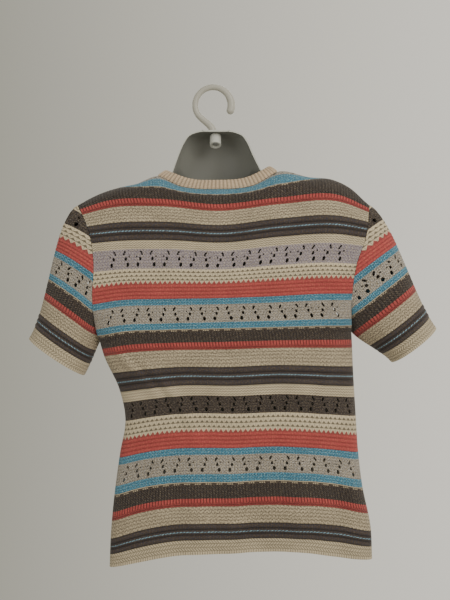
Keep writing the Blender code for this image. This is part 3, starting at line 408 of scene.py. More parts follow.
# Colours of the yarns and the plastics
CREAM = (0.55, 0.46, 0.31)
SAND = (0.46, 0.38, 0.26)
TAUPE = (0.36, 0.30, 0.21)
BROWN = (0.062, 0.045, 0.033)
NAVY = (0.040, 0.040, 0.060)
CORAL = (0.375, 0.062, 0.060)
SALMON = (0.52, 0.13, 0.09)
BLUE = (0.085, 0.29, 0.42)
DEEP_BLUE = (0.035, 0.13, 0.20)
PALE_BLUE = (0.30, 0.50, 0.56)
GREY = (0.46, 0.42, 0.37)
LAVENDER = (0.40, 0.345, 0.36)
VIOLET = (0.17, 0.13, 0.17)
LINE_BLUE = (0.22, 0.38, 0.46)
PEACH = (0.60, 0.44, 0.29)
FORM_GREY = (0.46, 0.46, 0.41)
# Painted shade: the darker grey of the form's inner faces stands in for the shade inside the hollow form
FORM_INSIDE_PAINTED_SHADE = (0.20, 0.20, 0.175)
HOOK_GREY = (0.36, 0.345, 0.29)
STEEL = (0.55, 0.55, 0.55)
FLOOR = (0.60, 0.58, 0.54)
WHITE = (1.0, 1.0, 1.0)
WARM = (1.0, 0.985, 0.96)
BRIGHT_SIDE = (0.90, 0.86, 0.76)
DIM_SIDE = (0.42, 0.405, 0.34)

# Finish of each smooth piece: colour, roughness, cloud size, metal
SURFACES = {
    # painted shade: the finish of the form's inner faces
    "form inside painted shade": (FORM_INSIDE_PAINTED_SHADE, 0.50, 12.0, 0.0),
    "form plastic": (FORM_GREY, 0.48, 12.0, 0.0),
    "hook plastic": (HOOK_GREY, 0.42, 60.0, 0.0),
    "screw steel": (STEEL, 0.35, 300.0, 1.0),
    "pale floor": (FLOOR, 0.8, 3.0, 0.0),
}

# Room: each light's place, size, power and colour, then the floor and the camera
LIGHT_TARGET = (-0.02, 0.0, -0.33)
LIGHTS = {
    "key light": ((-1.10, 1.50, 0.75), 1.2, 26.0, WARM),
    "fill light": ((1.50, 1.30, 0.10), 1.6, 12.0, WHITE),
    "far light": ((0.20, -1.70, 0.60), 1.6, 16.0, WHITE),
}
FLOOR_RADIUS = 0.95
FLOOR_PLACE = (-0.02, -0.03, -1.30)
CAMERA_PLACE = (-0.018, 1.30, -0.319)
CAMERA_SENSOR = 24.0
PICTURE_HEIGHT = 0.912


# Curves and tables


def cubic(t, start, leave, end, arrive):
    """A curve from start to end that leaves and arrives along these steps."""
    return (
        start * (1 + 2 * t) * (1 - t) ** 2
        + leave * t * (1 - t) ** 2
        + end * (3 - 2 * t) * t**2
        - arrive * (1 - t) * t**2
    )


def smooth(at, stops, values):
    """A cubic curve through rows of values at the stops, read at each place in at."""
    stops = np.asarray(stops, float)
    values = np.asarray(values, float)
    at = np.clip(at, stops[0], stops[-1])
    slopes = np.gradient(values, stops, axis=0)
    cell = np.clip(np.searchsorted(stops, at, side="right") - 1, 0, len(stops) - 2)
    width = stops[cell + 1] - stops[cell]
    t = (at - stops[cell]) / width
    here = (cell,) if values.ndim == 1 else (cell, np.arange(len(at)))
    there = (cell + 1,) if values.ndim == 1 else (cell + 1, np.arange(len(at)))
    return cubic(t, values[here], slopes[here] * width, values[there], slopes[there] * width)


def ease(t):
    """0 to 1, flat at both ends."""
    t = np.clip(t, 0.0, 1.0)
    return t * t * (3 - 2 * t)


def column(table, index):
    return np.array([row[index] for row in table])


def even_steps(points):
    """How far along a line of points each one lies, from 0 to 1."""
    lengths = np.linalg.norm(np.diff(points, axis=0), axis=1)
    run = np.concatenate([[0.0], np.cumsum(lengths)])
    return run / run[-1]


# Surface of the body


def over_ridge(course):
    """The angle left to turn over the shoulder: a right angle on the body, 0 on the ridge."""
    part = (course - RIDGE_COURSE) / (TOP_COURSE - RIDGE_COURSE)
    return math.pi / 2 * (1 - np.clip(part, 0.0, 1.0))


def course_height(station, course):
    lines = np.array([smooth(station, STATIONS, row[1:]) for row in COURSE_HEIGHTS])
    below = smooth(np.minimum(course, RIDGE_COURSE), column(COURSE_HEIGHTS, 0), lines)
    ridge = smooth(station, column(RIDGE_LINE, 0), column(RIDGE_LINE, 1))
    shoulder = ridge - (ridge - lines[-1]) * (1 - np.cos(over_ridge(course)))
    return np.where(course > RIDGE_COURSE, shoulder, below)


def edges_at(course):
    """How far out the left and right edges of the panel lie."""
    left = course_height(np.zeros_like(course), course)
    right = course_height(np.ones_like(course), course)
    return (
        smooth(left, column(LEFT_EDGE, 0), column(LEFT_EDGE, 1)),
        smooth(right, column(RIGHT_EDGE, 0), column(RIGHT_EDGE, 1)),
    )


def armhole_depth(side, course):
    """Half the depth of the armhole: how far from the side seam the panel stops."""
    part = (course - UNDERARM_COURSE) / (TOP_COURSE - UNDERARM_COURSE)
    part = np.clip(part, 0.0, 1.0) ** ARMHOLE_LEAN
    return ARMHOLE_HALF_DEPTH[side] * np.sin(math.pi * part) ** ARMHOLE_ROUNDNESS


def body_section(side, across, course):
    """How far the panel stands out from the side seam's plane."""
    low = np.minimum(course, RIDGE_COURSE)
    middle = smooth(low, column(DEPTHS, 0), column(DEPTHS, 1 if side > 0 else 2))
    edge = armhole_depth(side, low)
    power = SIDE_POWER[side]
    wrap = ease(1 - (low - UNDERARM_COURSE) / WRAP_COURSES)
    fall = (1 - np.clip(np.abs(across), 0, 1) ** power) ** (1 / (1 + (power - 1) * wrap))
    return edge + (middle - edge) * fall


def body_base(side, across, course):
    """A point of the outer face of the cloth, before folds and relief."""
    course = np.clip(course, 0.0, TOP_COURSE)
    left, right = edges_at(course)
    x = (left - right) / 2 + (left + right) / 2 * across
    y = side * body_section(side, across, course) * np.sin(over_ridge(course))
    return np.stack([x, y, course_height((1 - across) / 2, course)], axis=-1)


def fold_rise(side, across, course):
    rise = np.zeros_like(course)
    for fold_side, where, middle, wide, tall, height, lean in FOLDS:
        if fold_side == side:
            off = (across - where - lean * (course - middle)) / wide
            rise += height * np.exp(-(off**2) - ((course - middle) / tall) ** 2)
    return rise * ease((1 - np.abs(across)) / FOLD_END)


def body_outward(side, across, course):
    """The unit normal of the outer face."""
    step = NORMAL_STEP
    a_low, a_high = np.clip(across - step, -1, 1), np.clip(across + step, -1, 1)
    c_low = np.clip(course - step, 0, TOP_COURSE)
    c_high = np.clip(course + step, 0, TOP_COURSE)
    along = body_base(side, a_high, course) - body_base(side, a_low, course)
    up = body_base(side, across, c_high) - body_base(side, across, c_low)
    normal = np.cross(up, along) * side
    return normal / np.linalg.norm(normal, axis=-1, keepdims=True)


def body_point(side, across, course, out=0.0):
    """A point of the cloth, moved out from its outer face by this much."""
    across = np.asarray(across, float)
    course = np.asarray(course, float)
    move = fold_rise(side, across, course) + out
    normal = body_outward(side, across, course)
    return body_base(side, across, course) + normal * move[..., None]


def even_across(side, parts, course):
    """The places across at which these parts of the panel's width, seen along it, lie."""
    across = np.cos(np.linspace(0, math.pi, LINE_SAMPLES))
    line = body_base(side, across, np.full(LINE_SAMPLES, course))
    return np.interp(parts, even_steps(line), across)


# Surface of a sleeve


class Sleeve:
    """A tube from the cuff to the armhole. A place on it is (turn, length): turn runs round
    from 0 under the arm over the back to 0.5 at the shoulder and over the front to 1, and
    length is the knitted length up from the cuff."""

    def __init__(self, sizes, courses):
        self.sign = sizes["sign"]
        self.centre = np.array(sizes["centre"])
        run_x, run_z = sizes["cuff_run"]
        self.run = np.array([run_x, 0.0, run_z]) * sizes["half_width"]
        self.deep = np.array([0.0, sizes["half_depth"], 0.0])
        self.axis = np.array([-abs(run_z) * self.sign, 0.0, abs(run_x)])
        self.turns = np.linspace(0.0, 1.0, SLEEVE_TURN_STEPS + 1)
        self.armhole = self.armhole_loop(courses)
        self.read_lengths()

    def armhole_loop(self, courses):
        """The turn and the place of each point round the armhole, at the panels' rows."""
        edge = np.full(len(courses), float(self.sign))
        back = body_base(1, edge, courses)
        front = body_base(-1, edge, courses)[::-1]
        front_turns = 0.5 + even_steps(front) / 2
        turns = np.concatenate([even_steps(back) / 2, front_turns[1:]])
        return turns, np.concatenate([back, front[1:]])

    def ends(self, turn):
        angle = 2 * math.pi * turn
        cuff = (
            self.centre
            - np.cos(angle)[..., None] * self.run
            + np.sin(angle)[..., None] * self.deep
        )
        turns, points = self.armhole
        whole = np.mod(turn, 1.0)
        top = np.stack([np.interp(whole, turns, points[:, i]) for i in range(3)], axis=-1)
        return cuff, top

    def tangents(self, turn, cuff, top):
        reach = np.linalg.norm(top - cuff, axis=-1, keepdims=True)
        high = ((1 - np.cos(2 * math.pi * turn)) / 2)[..., None]
        under = np.array([UNDERARM_RISE[0] * self.sign, 0.0, UNDERARM_RISE[1]])
        over = np.array([SHOULDER_RISE[0] * self.sign, 0.0, SHOULDER_RISE[1]])
        leave = self.axis * reach * SLEEVE_CUFF_PULL
        arrive = (under * (1 - high) + over * high) * reach * SLEEVE_SHOULDER_PULL
        return leave, arrive

    def at(self, turn, part):
        cuff, top = self.ends(turn)
        leave, arrive = self.tangents(turn, cuff, top)
        return cubic(part[..., None], cuff, leave, top, arrive)

    def read_lengths(self):
        """The length of each line up the sleeve, and where even parts of it lie."""
        parts = np.linspace(0.0, 1.0, SLEEVE_LENGTH_STEPS + 1)
        totals, places = [], []
        for turn in self.turns:
            line = self.at(np.full(len(parts), turn), parts)
            totals.append(np.linalg.norm(np.diff(line, axis=0), axis=1).sum())
            places.append(np.interp(parts, even_steps(line), parts))
        self.totals = np.array(totals)
        self.places = np.array(places)

    def full_length(self, turn):
        return np.interp(turn, self.turns, self.totals)

    def base(self, turn, length):
        whole = np.mod(turn, 1.0)
        fraction = np.clip(length / self.full_length(whole), 0.0, 1.0)
        row = np.clip(whole * SLEEVE_TURN_STEPS, 0, SLEEVE_TURN_STEPS - 1e-3)
        col = np.clip(fraction * SLEEVE_LENGTH_STEPS, 0, SLEEVE_LENGTH_STEPS - 1e-3)
        r, c = row.astype(int), col.astype(int)
        fr, fc = row - r, col - c
        part = (
            self.places[r, c] * (1 - fr) * (1 - fc)
            + self.places[r + 1, c] * fr * (1 - fc)
            + self.places[r, c + 1] * (1 - fr) * fc
            + self.places[r + 1, c + 1] * fr * fc
        )
        return self.at(turn, part)

    def point(self, turn, length, out=0.0):
        turn = np.asarray(turn, float)
        length = np.asarray(length, float)
        step_t, step_l = SLEEVE_NORMAL_STEP, SLEEVE_NORMAL_STEP / 2
        seam = np.round(turn * 2) / 2
        near = np.where(np.abs(turn - seam) < SEAM_TURN, seam, turn)
        most = self.full_length(np.mod(near, 1.0))
        inside = np.minimum(length, most)
        around = self.base(near + step_t, length) - self.base(near - step_t, length)
        up = self.base(near, np.minimum(inside + step_l, most))
        up = up - self.base(near, np.maximum(inside - step_l, 0.0))
        normal = np.cross(up, around) * self.sign
        normal = normal / np.linalg.norm(normal, axis=-1, keepdims=True)
        return self.base(turn, length) + normal * np.asarray(out)[..., None]


# Neck seam


def neck_line(side, turn, left=NECK_LEFT, right=NECK_RIGHT, dip=None):
    """The neck seam: turn runs from 0 at the left shoulder to 1 at the right one."""
    dip = NECK_DIP[side] if dip is None else dip
    across = (left + right) / 2 + (left - right) / 2 * np.cos(math.pi * turn)
    course = TOP_COURSE - dip * np.sin(math.pi * turn) ** NECK_SCOOP_POWER[side]
    return across, course


def neck_seam_points(count):
    """The seam all round the neck, from the left shoulder over the back, at even steps."""
    turns = np.linspace(0.0, 1.0, NECK_LOOK_COLUMNS + 1)
    back = body_point(1, *neck_line(1, turns))
    front = body_point(-1, *neck_line(-1, turns[::-1]))
    loop = np.concatenate([back, front[1:]])
    part = even_steps(loop)
    at = np.arange(count) / count
    return np.stack([np.interp(at, part, loop[:, i]) for i in range(3)], axis=-1)


# Faces of the form


def under_cloth(side, across, course, below):
    """A point this far below the inner face of the cloth."""
    normal = body_outward(side, across, course)
    return body_base(side, across, course) - normal * (WALL + below)[:, None]


def form_grid(extra):
    """Points of the form, this much further in than its outer face, row by row."""
    shoulder = np.linspace(0.0, 1.0, FORM_SHOULDER_COLUMNS + 1)
    turns = np.linspace(0.0, 1.0, FORM_NECK_COLUMNS + 1)
    neck_across, neck_course = neck_line(-1, turns, FORM_NECK_LEFT, FORM_NECK_RIGHT, FORM_NECK_DIP)
    left = FORM_EDGE + (FORM_NECK_LEFT - FORM_EDGE) * shoulder
    right = FORM_NECK_RIGHT + (-FORM_EDGE - FORM_NECK_RIGHT) * shoulder
    across = np.concatenate([left[:-1], neck_across, right[1:]])
    top = np.full(len(across), TOP_COURSE)
    top[FORM_SHOULDER_COLUMNS : FORM_SHOULDER_COLUMNS + FORM_NECK_COLUMNS + 1] = neck_course
    foot_across = np.linspace(FORM_EDGE, -FORM_EDGE, len(across))
    from_neck = np.maximum(across - FORM_NECK_LEFT, FORM_NECK_RIGHT - across)
    by_neck = FORM_NECK_CLEAR * ease(1 - from_neck / FORM_NECK_CLEAR_SPAN)
    rows = []
    for k in range(FORM_ROWS + 1):
        part = k / FORM_ROWS
        here = foot_across + (across - foot_across) * ease(part)
        course = FORM_FOOT_COURSE + (top - FORM_FOOT_COURSE) * part
        near = ease((course - FORM_SEAT_COURSES[0]) / (FORM_SEAT_COURSES[1] - FORM_SEAT_COURSES[0]))
        clear = FORM_CLEAR + (FORM_SEAT_CLEAR - FORM_CLEAR) * near + by_neck * near
        rows.append(under_cloth(-1, here, course, clear + extra))
    past = np.full(len(across), TOP_COURSE - FORM_OVER_RIDGE)
    rim = under_cloth(1, across, past, FORM_RIM_CLEAR + by_neck + extra)
    rings = []
    for height, drop, half, depth in FORM_NECK_RINGS:
        rings.append(neck_ring(turns, height, drop, half - extra, depth - extra))
    lid = FORM_NECK_RINGS[-1]
    for k in range(1, CAP_ROWS + 1):
        part = 1 - k / CAP_ROWS
        rings.append(neck_ring(turns, lid[0] - extra, 0.0, lid[2] - extra, lid[3] - extra, part))
    rings[-CAP_ROWS - 1][:, 2] -= extra
    rings[-CAP_ROWS - 2][:, 2] -= extra * CAP_EDGE_SHARE
    return rows, rim, rings


def neck_ring(turns, height, drop, half, depth, share=1.0):
    angle = math.pi * turns
    x = FORM_NECK_X + half * np.cos(angle)
    y = FORM_NECK_RIM_Y - (FORM_NECK_RIM_Y + depth) * np.sin(angle) * share
    z = height - drop * np.sin(angle)
    return np.stack([x, y, z], axis=-1)


# Shapes swept or turned about a line


def hook_path():
    """The middle of the hook's rod and the rod's half thickness at each ring."""
    radius = HOOK_INSIDE_RADIUS + HOOK_ROD_RADIUS
    centre_z = -HOOK_INSIDE_RADIUS
    points, sizes = [], []
    for k in range(HOOK_ARC_RINGS + 1):
        part = k / HOOK_ARC_RINGS
        angle = HOOK_TIP_TURN + (HOOK_BACK_TURN - HOOK_TIP_TURN) * part
        points.append((radius * math.cos(angle), 0.0, centre_z + radius * math.sin(angle)))
        thick = HOOK_TIP_RADIUS + (HOOK_ROD_RADIUS - HOOK_TIP_RADIUS) * float(ease(part / HOOK_TIP_PART))
        sizes.append(thick)
    start = np.array(points[-1])
    heading = np.array([math.sin(HOOK_BACK_TURN), 0.0, -math.cos(HOOK_BACK_TURN)])
    end = np.array(HOOK_FOOT)
    reach = np.linalg.norm(end - start)
    pull = heading * reach * HOOK_STEM_PULL
    land = np.array(HOOK_FOOT_LEAN) * reach * HOOK_FOOT_PULL
    for k in range(1, HOOK_STEM_RINGS + 1):
        t = k / HOOK_STEM_RINGS
        points.append(tuple(cubic(t, start, pull, end, land)))
        sizes.append(HOOK_ROD_RADIUS * (1 + HOOK_FOOT_SPREAD * t))
    return np.array(points), np.array(sizes)


def ring_faces(count, sides):
    """Faces between rings of this many points each, count points in all."""
    faces = []
    for low in range(0, count - sides, sides):
        high = low + sides
        for k in range(sides):
            n = (k + 1) % sides
            faces.append((low + k, low + n, high + n, high + k))
    return faces


def make_hook():
    """A round rod swept along the hook, with a rounded tip and a flat foot on the cap."""
    path, sizes = hook_path()
    headings = np.gradient(path, axis=0)
    headings /= np.linalg.norm(headings, axis=1, keepdims=True)
    headings[-1] = (0.0, 0.0, -1.0)
    depth_way = np.array([0.0, 1.0, 0.0])
    rings = [
        (path[0] - headings[0] * sizes[0] * back, headings[0], sizes[0] * share)
        for back, share in HOOK_TIP_ROUNDING
    ]
    points = []
    for centre, heading, size in rings + list(zip(path, headings, sizes)):
        across = np.cross(heading, depth_way)
        for k in range(HOOK_SIDES):
            angle = 2 * math.pi * k / HOOK_SIDES
            points.append(centre + size * (across * math.cos(angle) + depth_way * math.sin(angle)))
    faces = ring_faces(len(points), HOOK_SIDES)
    faces += [tuple(range(HOOK_SIDES)), tuple(range(len(points) - HOOK_SIDES, len(points)))]
    return mesh_object("hook_rod", points, faces, "hook plastic")


def turned(name, profile, colour):
    """A closed shape turned round the boss's axis from (radius, height) points, end to end."""
    lean = np.array([0.0, math.sin(BOSS_TILT), -math.cos(BOSS_TILT)])
    side = np.array([1.0, 0.0, 0.0])
    up = np.cross(lean, side)
    points = []
    for radius, height in profile:
        for k in range(BOSS_SIDES):
            angle = 2 * math.pi * k / BOSS_SIDES
            around = side * math.cos(angle) + up * math.sin(angle)
            points.append(np.array(BOSS_TOP) + lean * height + radius * around)
    return mesh_object(name, points, ring_faces(len(points), BOSS_SIDES), colour)


# The knit's bands, relief and holes


def look_rows(bands):
    """The course of each row, and for each row of cells its band's number."""
    courses, owners = [0.0], []
    for number, (_, height, rows) in enumerate(bands):
        low = courses[-1]
        for k in range(1, rows + 1):
            courses.append(low + height * k / rows)
            owners.append(number)
    return np.array(courses), np.array(owners)


def band_lows(bands):
    heights = [height for _, height, _ in bands]
    return np.concatenate([[0.0], np.cumsum(heights)])


def relief(bands, along, course):
    """How far the knit's relief stands out at these places."""
    lows = band_lows(bands)
    number = np.clip(np.searchsorted(lows, course + 1e-9, side="right") - 1, 0, len(bands) - 1)
    out = np.zeros_like(course)
    for k, (name, height, _) in enumerate(bands):
        here = number == k
        share = (course[here] - lows[k]) / height
        rise, waves = RELIEF[name]
        wave = np.abs(np.sin(math.pi * waves * share))
        if name == "leaf":
            turn = along[here] / LEAF_PITCH + 0.5 * np.floor(share * waves)
            wave = wave * (LEAF_WAVE[0] + LEAF_WAVE[1] * np.cos(2 * math.pi * turn))
        out[here] = rise * wave
    return out


def lace_holes(bands, pairs, around):
    """The holes of every lace band: along, up, half width, half height, slant."""
    holes = []
    for low, (name, height, _) in zip(band_lows(bands), bands):
        if "lace" not in name or height < LOWEST_LACE:
            continue
        for pair in range(pairs):
            for lean in (-1, 1):
                for from_pair, up, wide, tall, slant in LACE_HOLES:
                    along = (pair + 0.5 + lean * from_pair) / pairs * around
                    holes.append((along, low + up, wide / 2, tall / 2, lean * slant))
    return holes


def cut_holes(cells, along, course, holes):
    """Says which cells stay, and draws the edge of each hole to the hole's oval."""
    centre_a, centre_c = along[cells].mean(axis=1), course[cells].mean(axis=1)
    keep = np.ones(len(cells), bool)
    for place, up, half_wide, half_tall, slant in holes:
        off = centre_a - place - slant * (centre_c - up)
        inside = (off / half_wide) ** 2 + ((centre_c - up) / half_tall) ** 2 < 1.0
        keep[inside] = False
        edge = np.unique(cells[inside])
        rise = course[edge] - up
        side = along[edge] - place - slant * rise
        size = np.sqrt((side / half_wide) ** 2 + (rise / half_tall) ** 2)
        pull = 1.0 / np.maximum(size, HOLE_CORE)
        course[edge] = up + rise * pull
        along[edge] = place + side * pull + slant * rise * pull
    return keep


def grid_cells(top_row, rows, columns):
    """Cells of a grid whose columns end at top_row, as point numbers, with each cell's row."""
    row, col = np.meshgrid(np.arange(rows), np.arange(columns), indexing="ij")
    row, col = row.ravel(), col.ravel()

    def number(r, c):
        return np.minimum(r, top_row[c]) * (columns + 1) + c

    cells = np.stack(
        [number(row, col), number(row, col + 1), number(row + 1, col + 1), number(row + 1, col)],
        axis=-1,
    )
    open_cell = (cells[:, 0] != cells[:, 3]) | (cells[:, 1] != cells[:, 2])
    return cells[open_cell], row[open_cell]


def shown(name, data):
    made = bpy.data.objects.new(name, data)
    bpy.context.scene.collection.objects.link(made)
    return made


def finish_mesh(mesh, sharp_angle=KNIT_SHARP_ANGLE):
    """Turns every face outward and keeps only the steep edges sharp."""
    shape = bmesh.new()
    shape.from_mesh(mesh)
    bmesh.ops.recalc_face_normals(shape, faces=shape.faces[:])
    shape.to_mesh(mesh)
    shape.free()
    mesh.shade_smooth()
    mesh.set_sharp_from_angle(angle=math.radians(sharp_angle))


def add_places(mesh, along, up, local, height):
    """Two UV maps: knit is along and up in metres, band is up in its band and the share of it."""
    for label, first, second in (("knit", along, up), ("band", local, local / height)):
        layer = mesh.uv_layers.new(name=label)
        layer.data.foreach_set("uv", np.stack([first, second], axis=-1).ravel())


def cloth_shell(name, cells, owners, outer, inner, places, bands):
    """A closed double wall, each band in its own knit."""
    used, numbers = np.unique(cells, return_inverse=True)
    cells = numbers.reshape(cells.shape)
    count = len(used)
    points = np.concatenate([outer[used], inner[used]])
    along, course, worn = (np.tile(place[used], 2) for place in places)
    faces, face_band, rim = [], [], {}
    for cell, band in zip(cells.tolist(), owners.tolist()):
        ring = [corner for k, corner in enumerate(cell) if corner != cell[k - 1]]
        faces.append(ring)
        faces.append([corner + count for corner in reversed(ring)])
        face_band += [band, band]
        for a, b in zip(ring, ring[1:] + ring[:1]):
            if (b, a) in rim:
                del rim[(b, a)]
            else:
                rim[(a, b)] = band
    for (a, b), band in rim.items():
        faces.append([b, a, a + count, b + count])
        face_band.append(band)
    mesh = bpy.data.meshes.new(name)
    mesh.from_pydata(points.tolist(), [], faces)
    knits = sorted({bands[band][0] for band in face_band})
    for knit in knits:
        mesh.materials.append(knit_material(knit))
    slots = [knits.index(bands[band][0]) for band in face_band]
    mesh.polygons.foreach_set("material_index", slots)
    corners = np.array([corner for face in faces for corner in face])
    corner_band = np.repeat(face_band, [len(face) for face in faces])
    heights = np.array([height for _, height, _ in bands])[corner_band]
    local = course[corners] - band_lows(bands)[corner_band]
    add_places(mesh, along[corners], worn[corners], local, heights)
    made = shown(name, mesh)
    finish_mesh(mesh)
    return made


def worn_course(across, course):
    """The course after the shoulder's slope: past the neck the last rows lie closer together."""
    past_left = (across - NECK_LEFT) / (1 - NECK_LEFT)
    past = np.maximum(past_left, (NECK_RIGHT - across) / (1 + NECK_RIGHT))
    power = 1 - (1 - SHOULDER_SQUEEZE) * ease(past / SQUEEZE_END)
    part = np.clip((course - RIDGE_COURSE) / (TOP_COURSE - RIDGE_COURSE), 0.0, 1.0)
    over = RIDGE_COURSE + (TOP_COURSE - RIDGE_COURSE) * part**power
    return np.where(course > RIDGE_COURSE, over, course)


def panel_look(side, name):
    """The back or the front with its relief and its lace."""
    columns = BODY_LACE_PAIRS * COLUMNS_PER_PAIR
    parts = np.linspace(0.0, 1.0, columns + 1)
    courses, owner = look_rows(BODY_LOOK)
    rows = len(courses) - 1
    across = np.array([even_across(side, parts, min(c, RIDGE_COURSE)) for c in courses])
    level = even_across(side, parts, RIDGE_COURSE)
    for corner in (NECK_LEFT, NECK_RIGHT):
        nearest = int(np.argmin(np.abs(level - corner)))
        reach = 1 - np.abs(np.arange(columns + 1) - nearest) / NECK_PULL_COLUMNS
        level = level + (corner - level[nearest]) * np.clip(reach, 0.0, 1.0)
    blend = ease((courses - YOKE_COURSE) / YOKE_BLEND)[:, None]
    across = across * (1 - blend) + level * blend
    middle, half = (NECK_LEFT + NECK_RIGHT) / 2, (NECK_LEFT - NECK_RIGHT) / 2
    turn = np.arccos(np.clip((level - middle) / half, -1.0, 1.0)) / math.pi
    top = neck_line(side, turn)[1] - SEAM_GAP / 2
    top_row = np.searchsorted(courses, top - CLIP_MARGIN)
    cells, cell_row = grid_cells(top_row, rows, columns)
    course = np.minimum(courses[:, None], top).ravel()
    along = np.tile(parts * BODY_AROUND, rows + 1)
    square = (along.copy(), course.copy())
    holes = [
        hole
        for hole in lace_holes(BODY_LOOK, BODY_LACE_PAIRS, BODY_AROUND)
        if SIDE_CLEAR < hole[0] < BODY_AROUND - SIDE_CLEAR
    ]
    keep = cut_holes(cells, along, course, holes)
    across = across.ravel()
    for i in np.flatnonzero((square[0] != along) | (square[1] != course)):
        row = i // (columns + 1)
        line = across[row * (columns + 1) : (row + 1) * (columns + 1)]
        across[i] = np.interp(along[i] / BODY_AROUND, parts, line)
    across = np.clip(across, -1 + EDGE_SHARE, 1 - EDGE_SHARE)
    to_top = np.tile(top, rows + 1) - course
    room = np.minimum((1 - np.abs(across)) / SEAM_FADE, to_top / TOP_FADE)
    rise = relief(BODY_LOOK, along, course) * ease(room)
    worn = worn_course(across, course)
    outer = body_point(side, across, worn, rise)
    inner = body_point(side, across, worn, np.full(len(across), -WALL))
    seam = 1 - np.abs(across) < 1e-6
    outer[seam, 1] += side * SEAM_GAP / 2
    inner[seam, 1] += side * SEAM_GAP / 2
    owners = owner[cell_row][keep]
    return cloth_shell(name, cells[keep], owners, outer, inner, (along, course, worn), BODY_LOOK)


def sleeve_look(sleeve, half, name):
    """One half of a sleeve with its relief and its lace: half is +1 for the back half."""
    seam = SEAM_GAP / 2 / (2 * math.pi * np.linalg.norm(sleeve.deep))
    first, last = (seam, 0.5 - seam) if half > 0 else (1 - seam, 0.5 + seam)
    columns = SLEEVE_LOOK_COLUMNS
    turns = np.linspace(first, last, columns + 1)
    courses, owner = look_rows(SLEEVE_LOOK)
    rows = len(courses) - 1
    top = sleeve.full_length(turns) - ARMHOLE_GAP
    top_row = np.searchsorted(courses, top - CLIP_MARGIN)
    cells, cell_row = grid_cells(top_row, rows, columns)
    length = np.minimum(courses[:, None], top).ravel()
    along = np.tile(turns * SLEEVE_AROUND, rows + 1)
    holes = []
    for hole in lace_holes(SLEEVE_LOOK, SLEEVE_LACE_PAIRS, SLEEVE_AROUND):
        turn = hole[0] / SLEEVE_AROUND
        clear = min(abs(turn - first), abs(turn - last)) * SLEEVE_AROUND
        inside = min(first, last) < turn < max(first, last)
        below_top = hole[1] + SLEEVE_TOP_CLEAR < sleeve.full_length(turn)
        if inside and clear > SLEEVE_SEAM_CLEAR and below_top:
            holes.append(hole)
    keep = cut_holes(cells, along, length, holes)
    turn = along / SLEEVE_AROUND
    room = np.minimum(np.abs(turn - first), np.abs(turn - last)) / SEAM_FADE
    room = np.minimum(room, (np.tile(top, rows + 1) - length) / TOP_FADE)
    rise = relief(SLEEVE_LOOK, along, length) * ease(room)
    outer = sleeve.point(turn, length, rise)
    inner = sleeve.point(turn, length, np.full(len(turn), -WALL))
    owners = owner[cell_row][keep]
    return cloth_shell(name, cells[keep], owners, outer, inner, (along, length, length), SLEEVE_LOOK)


def neckband_look():
    """The ribbed ring that stands on the neck seam and leans in."""
    count = BAND_RIBS * RIB_STEPS
    seam = neck_seam_points(count)
    window = BAND_ROUNDING * RIB_STEPS // 2
    rounded = sum(np.roll(seam, k, axis=0) for k in range(-window, window + 1))
    rounded /= 2 * window + 1
    inward = seam.mean(axis=0) - seam
    inward[:, 2] = 0.0
    inward /= np.linalg.norm(inward, axis=1, keepdims=True)
    lean = BAND_LEAN_MIDDLE + (BAND_LEAN_SHOULDER - BAND_LEAN_MIDDLE) * inward[:, 0] ** 2
    rise = inward * lean[:, None] + np.array([0.0, 0.0, 1.0])
    rise /= np.linalg.norm(rise, axis=1, keepdims=True)
    around = np.roll(seam, -RIB_STEPS, axis=0) - np.roll(seam, RIB_STEPS, axis=0)
    outward = np.cross(rise, around)
    outward *= -np.sign((outward * inward).sum(axis=1))[:, None]
    outward /= np.linalg.norm(outward, axis=1, keepdims=True)
    turn = np.arange(count) / RIB_STEPS
    rib = BAND_RIB_RAISE * (1 + np.cos(2 * math.pi * turn))
    points, faces = [], []
    for share, out, ribbed in BAND_PROFILE:
        up = NECK_SEAM_GAP + (BAND_HEIGHT - NECK_SEAM_GAP) * share
        foot = seam + (rounded - seam) * up / BAND_HEIGHT
        points.append(foot + rise * up + outward * (out + rib * ribbed)[:, None])
    rings = len(BAND_PROFILE)
    corner_turn = []
    for k in range(rings):
        for i in range(count):
            n, m = (i + 1) % count, (k + 1) % rings
            faces.append([k * count + i, k * count + n, m * count + n, m * count + i])
            corner_turn += [i, i + 1, i + 1, i]
    mesh = bpy.data.meshes.new("neckband_cloth")
    mesh.from_pydata(np.concatenate(points).tolist(), [], faces)
    mesh.materials.append(knit_material("neck rib"))
    corners = np.array([corner for face in faces for corner in face])
    up = np.repeat([share * BAND_HEIGHT for share, _, _ in BAND_PROFILE], count)
    steps = np.array(corner_turn) / RIB_STEPS * RIB_WIDTH
    add_places(mesh, steps, up[corners], up[corners], BAND_HEIGHT)
    made = shown("neckband_cloth", mesh)
    finish_mesh(mesh)
    return made


# Pieces of plastic and steel


def mesh_object(name, points, faces, finish, painted_shade_finish=None, painted_shade_from=0):
    """One closed mesh, with points that coincide made one."""
    index, kept, place = {}, [], []
    for point in points:
        key = tuple(np.round(point, 7))
        if key not in index:
            index[key] = len(kept)
            kept.append(tuple(map(float, point)))
        place.append(index[key])
    rings, painted_shade_faces = [], []
    for face in faces:
        ring = list(dict.fromkeys(place[corner] for corner in face))
        if len(ring) > 2:
            rings.append(ring)
            painted_shade_faces.append(int(min(face) >= painted_shade_from))
    mesh = bpy.data.meshes.new(name)
    mesh.from_pydata(kept, [], rings)
    mesh.materials.append(surface_material(finish))
    # The faces from the given point number on take the second finish: on the form, its inner faces in a
    # darker grey as painted shade
    if painted_shade_finish:
        mesh.materials.append(surface_material(painted_shade_finish))
        mesh.polygons.foreach_set("material_index", painted_shade_faces)
    made = shown(name, mesh)
    finish_mesh(mesh, PLASTIC_SHARP_ANGLE)
    return made


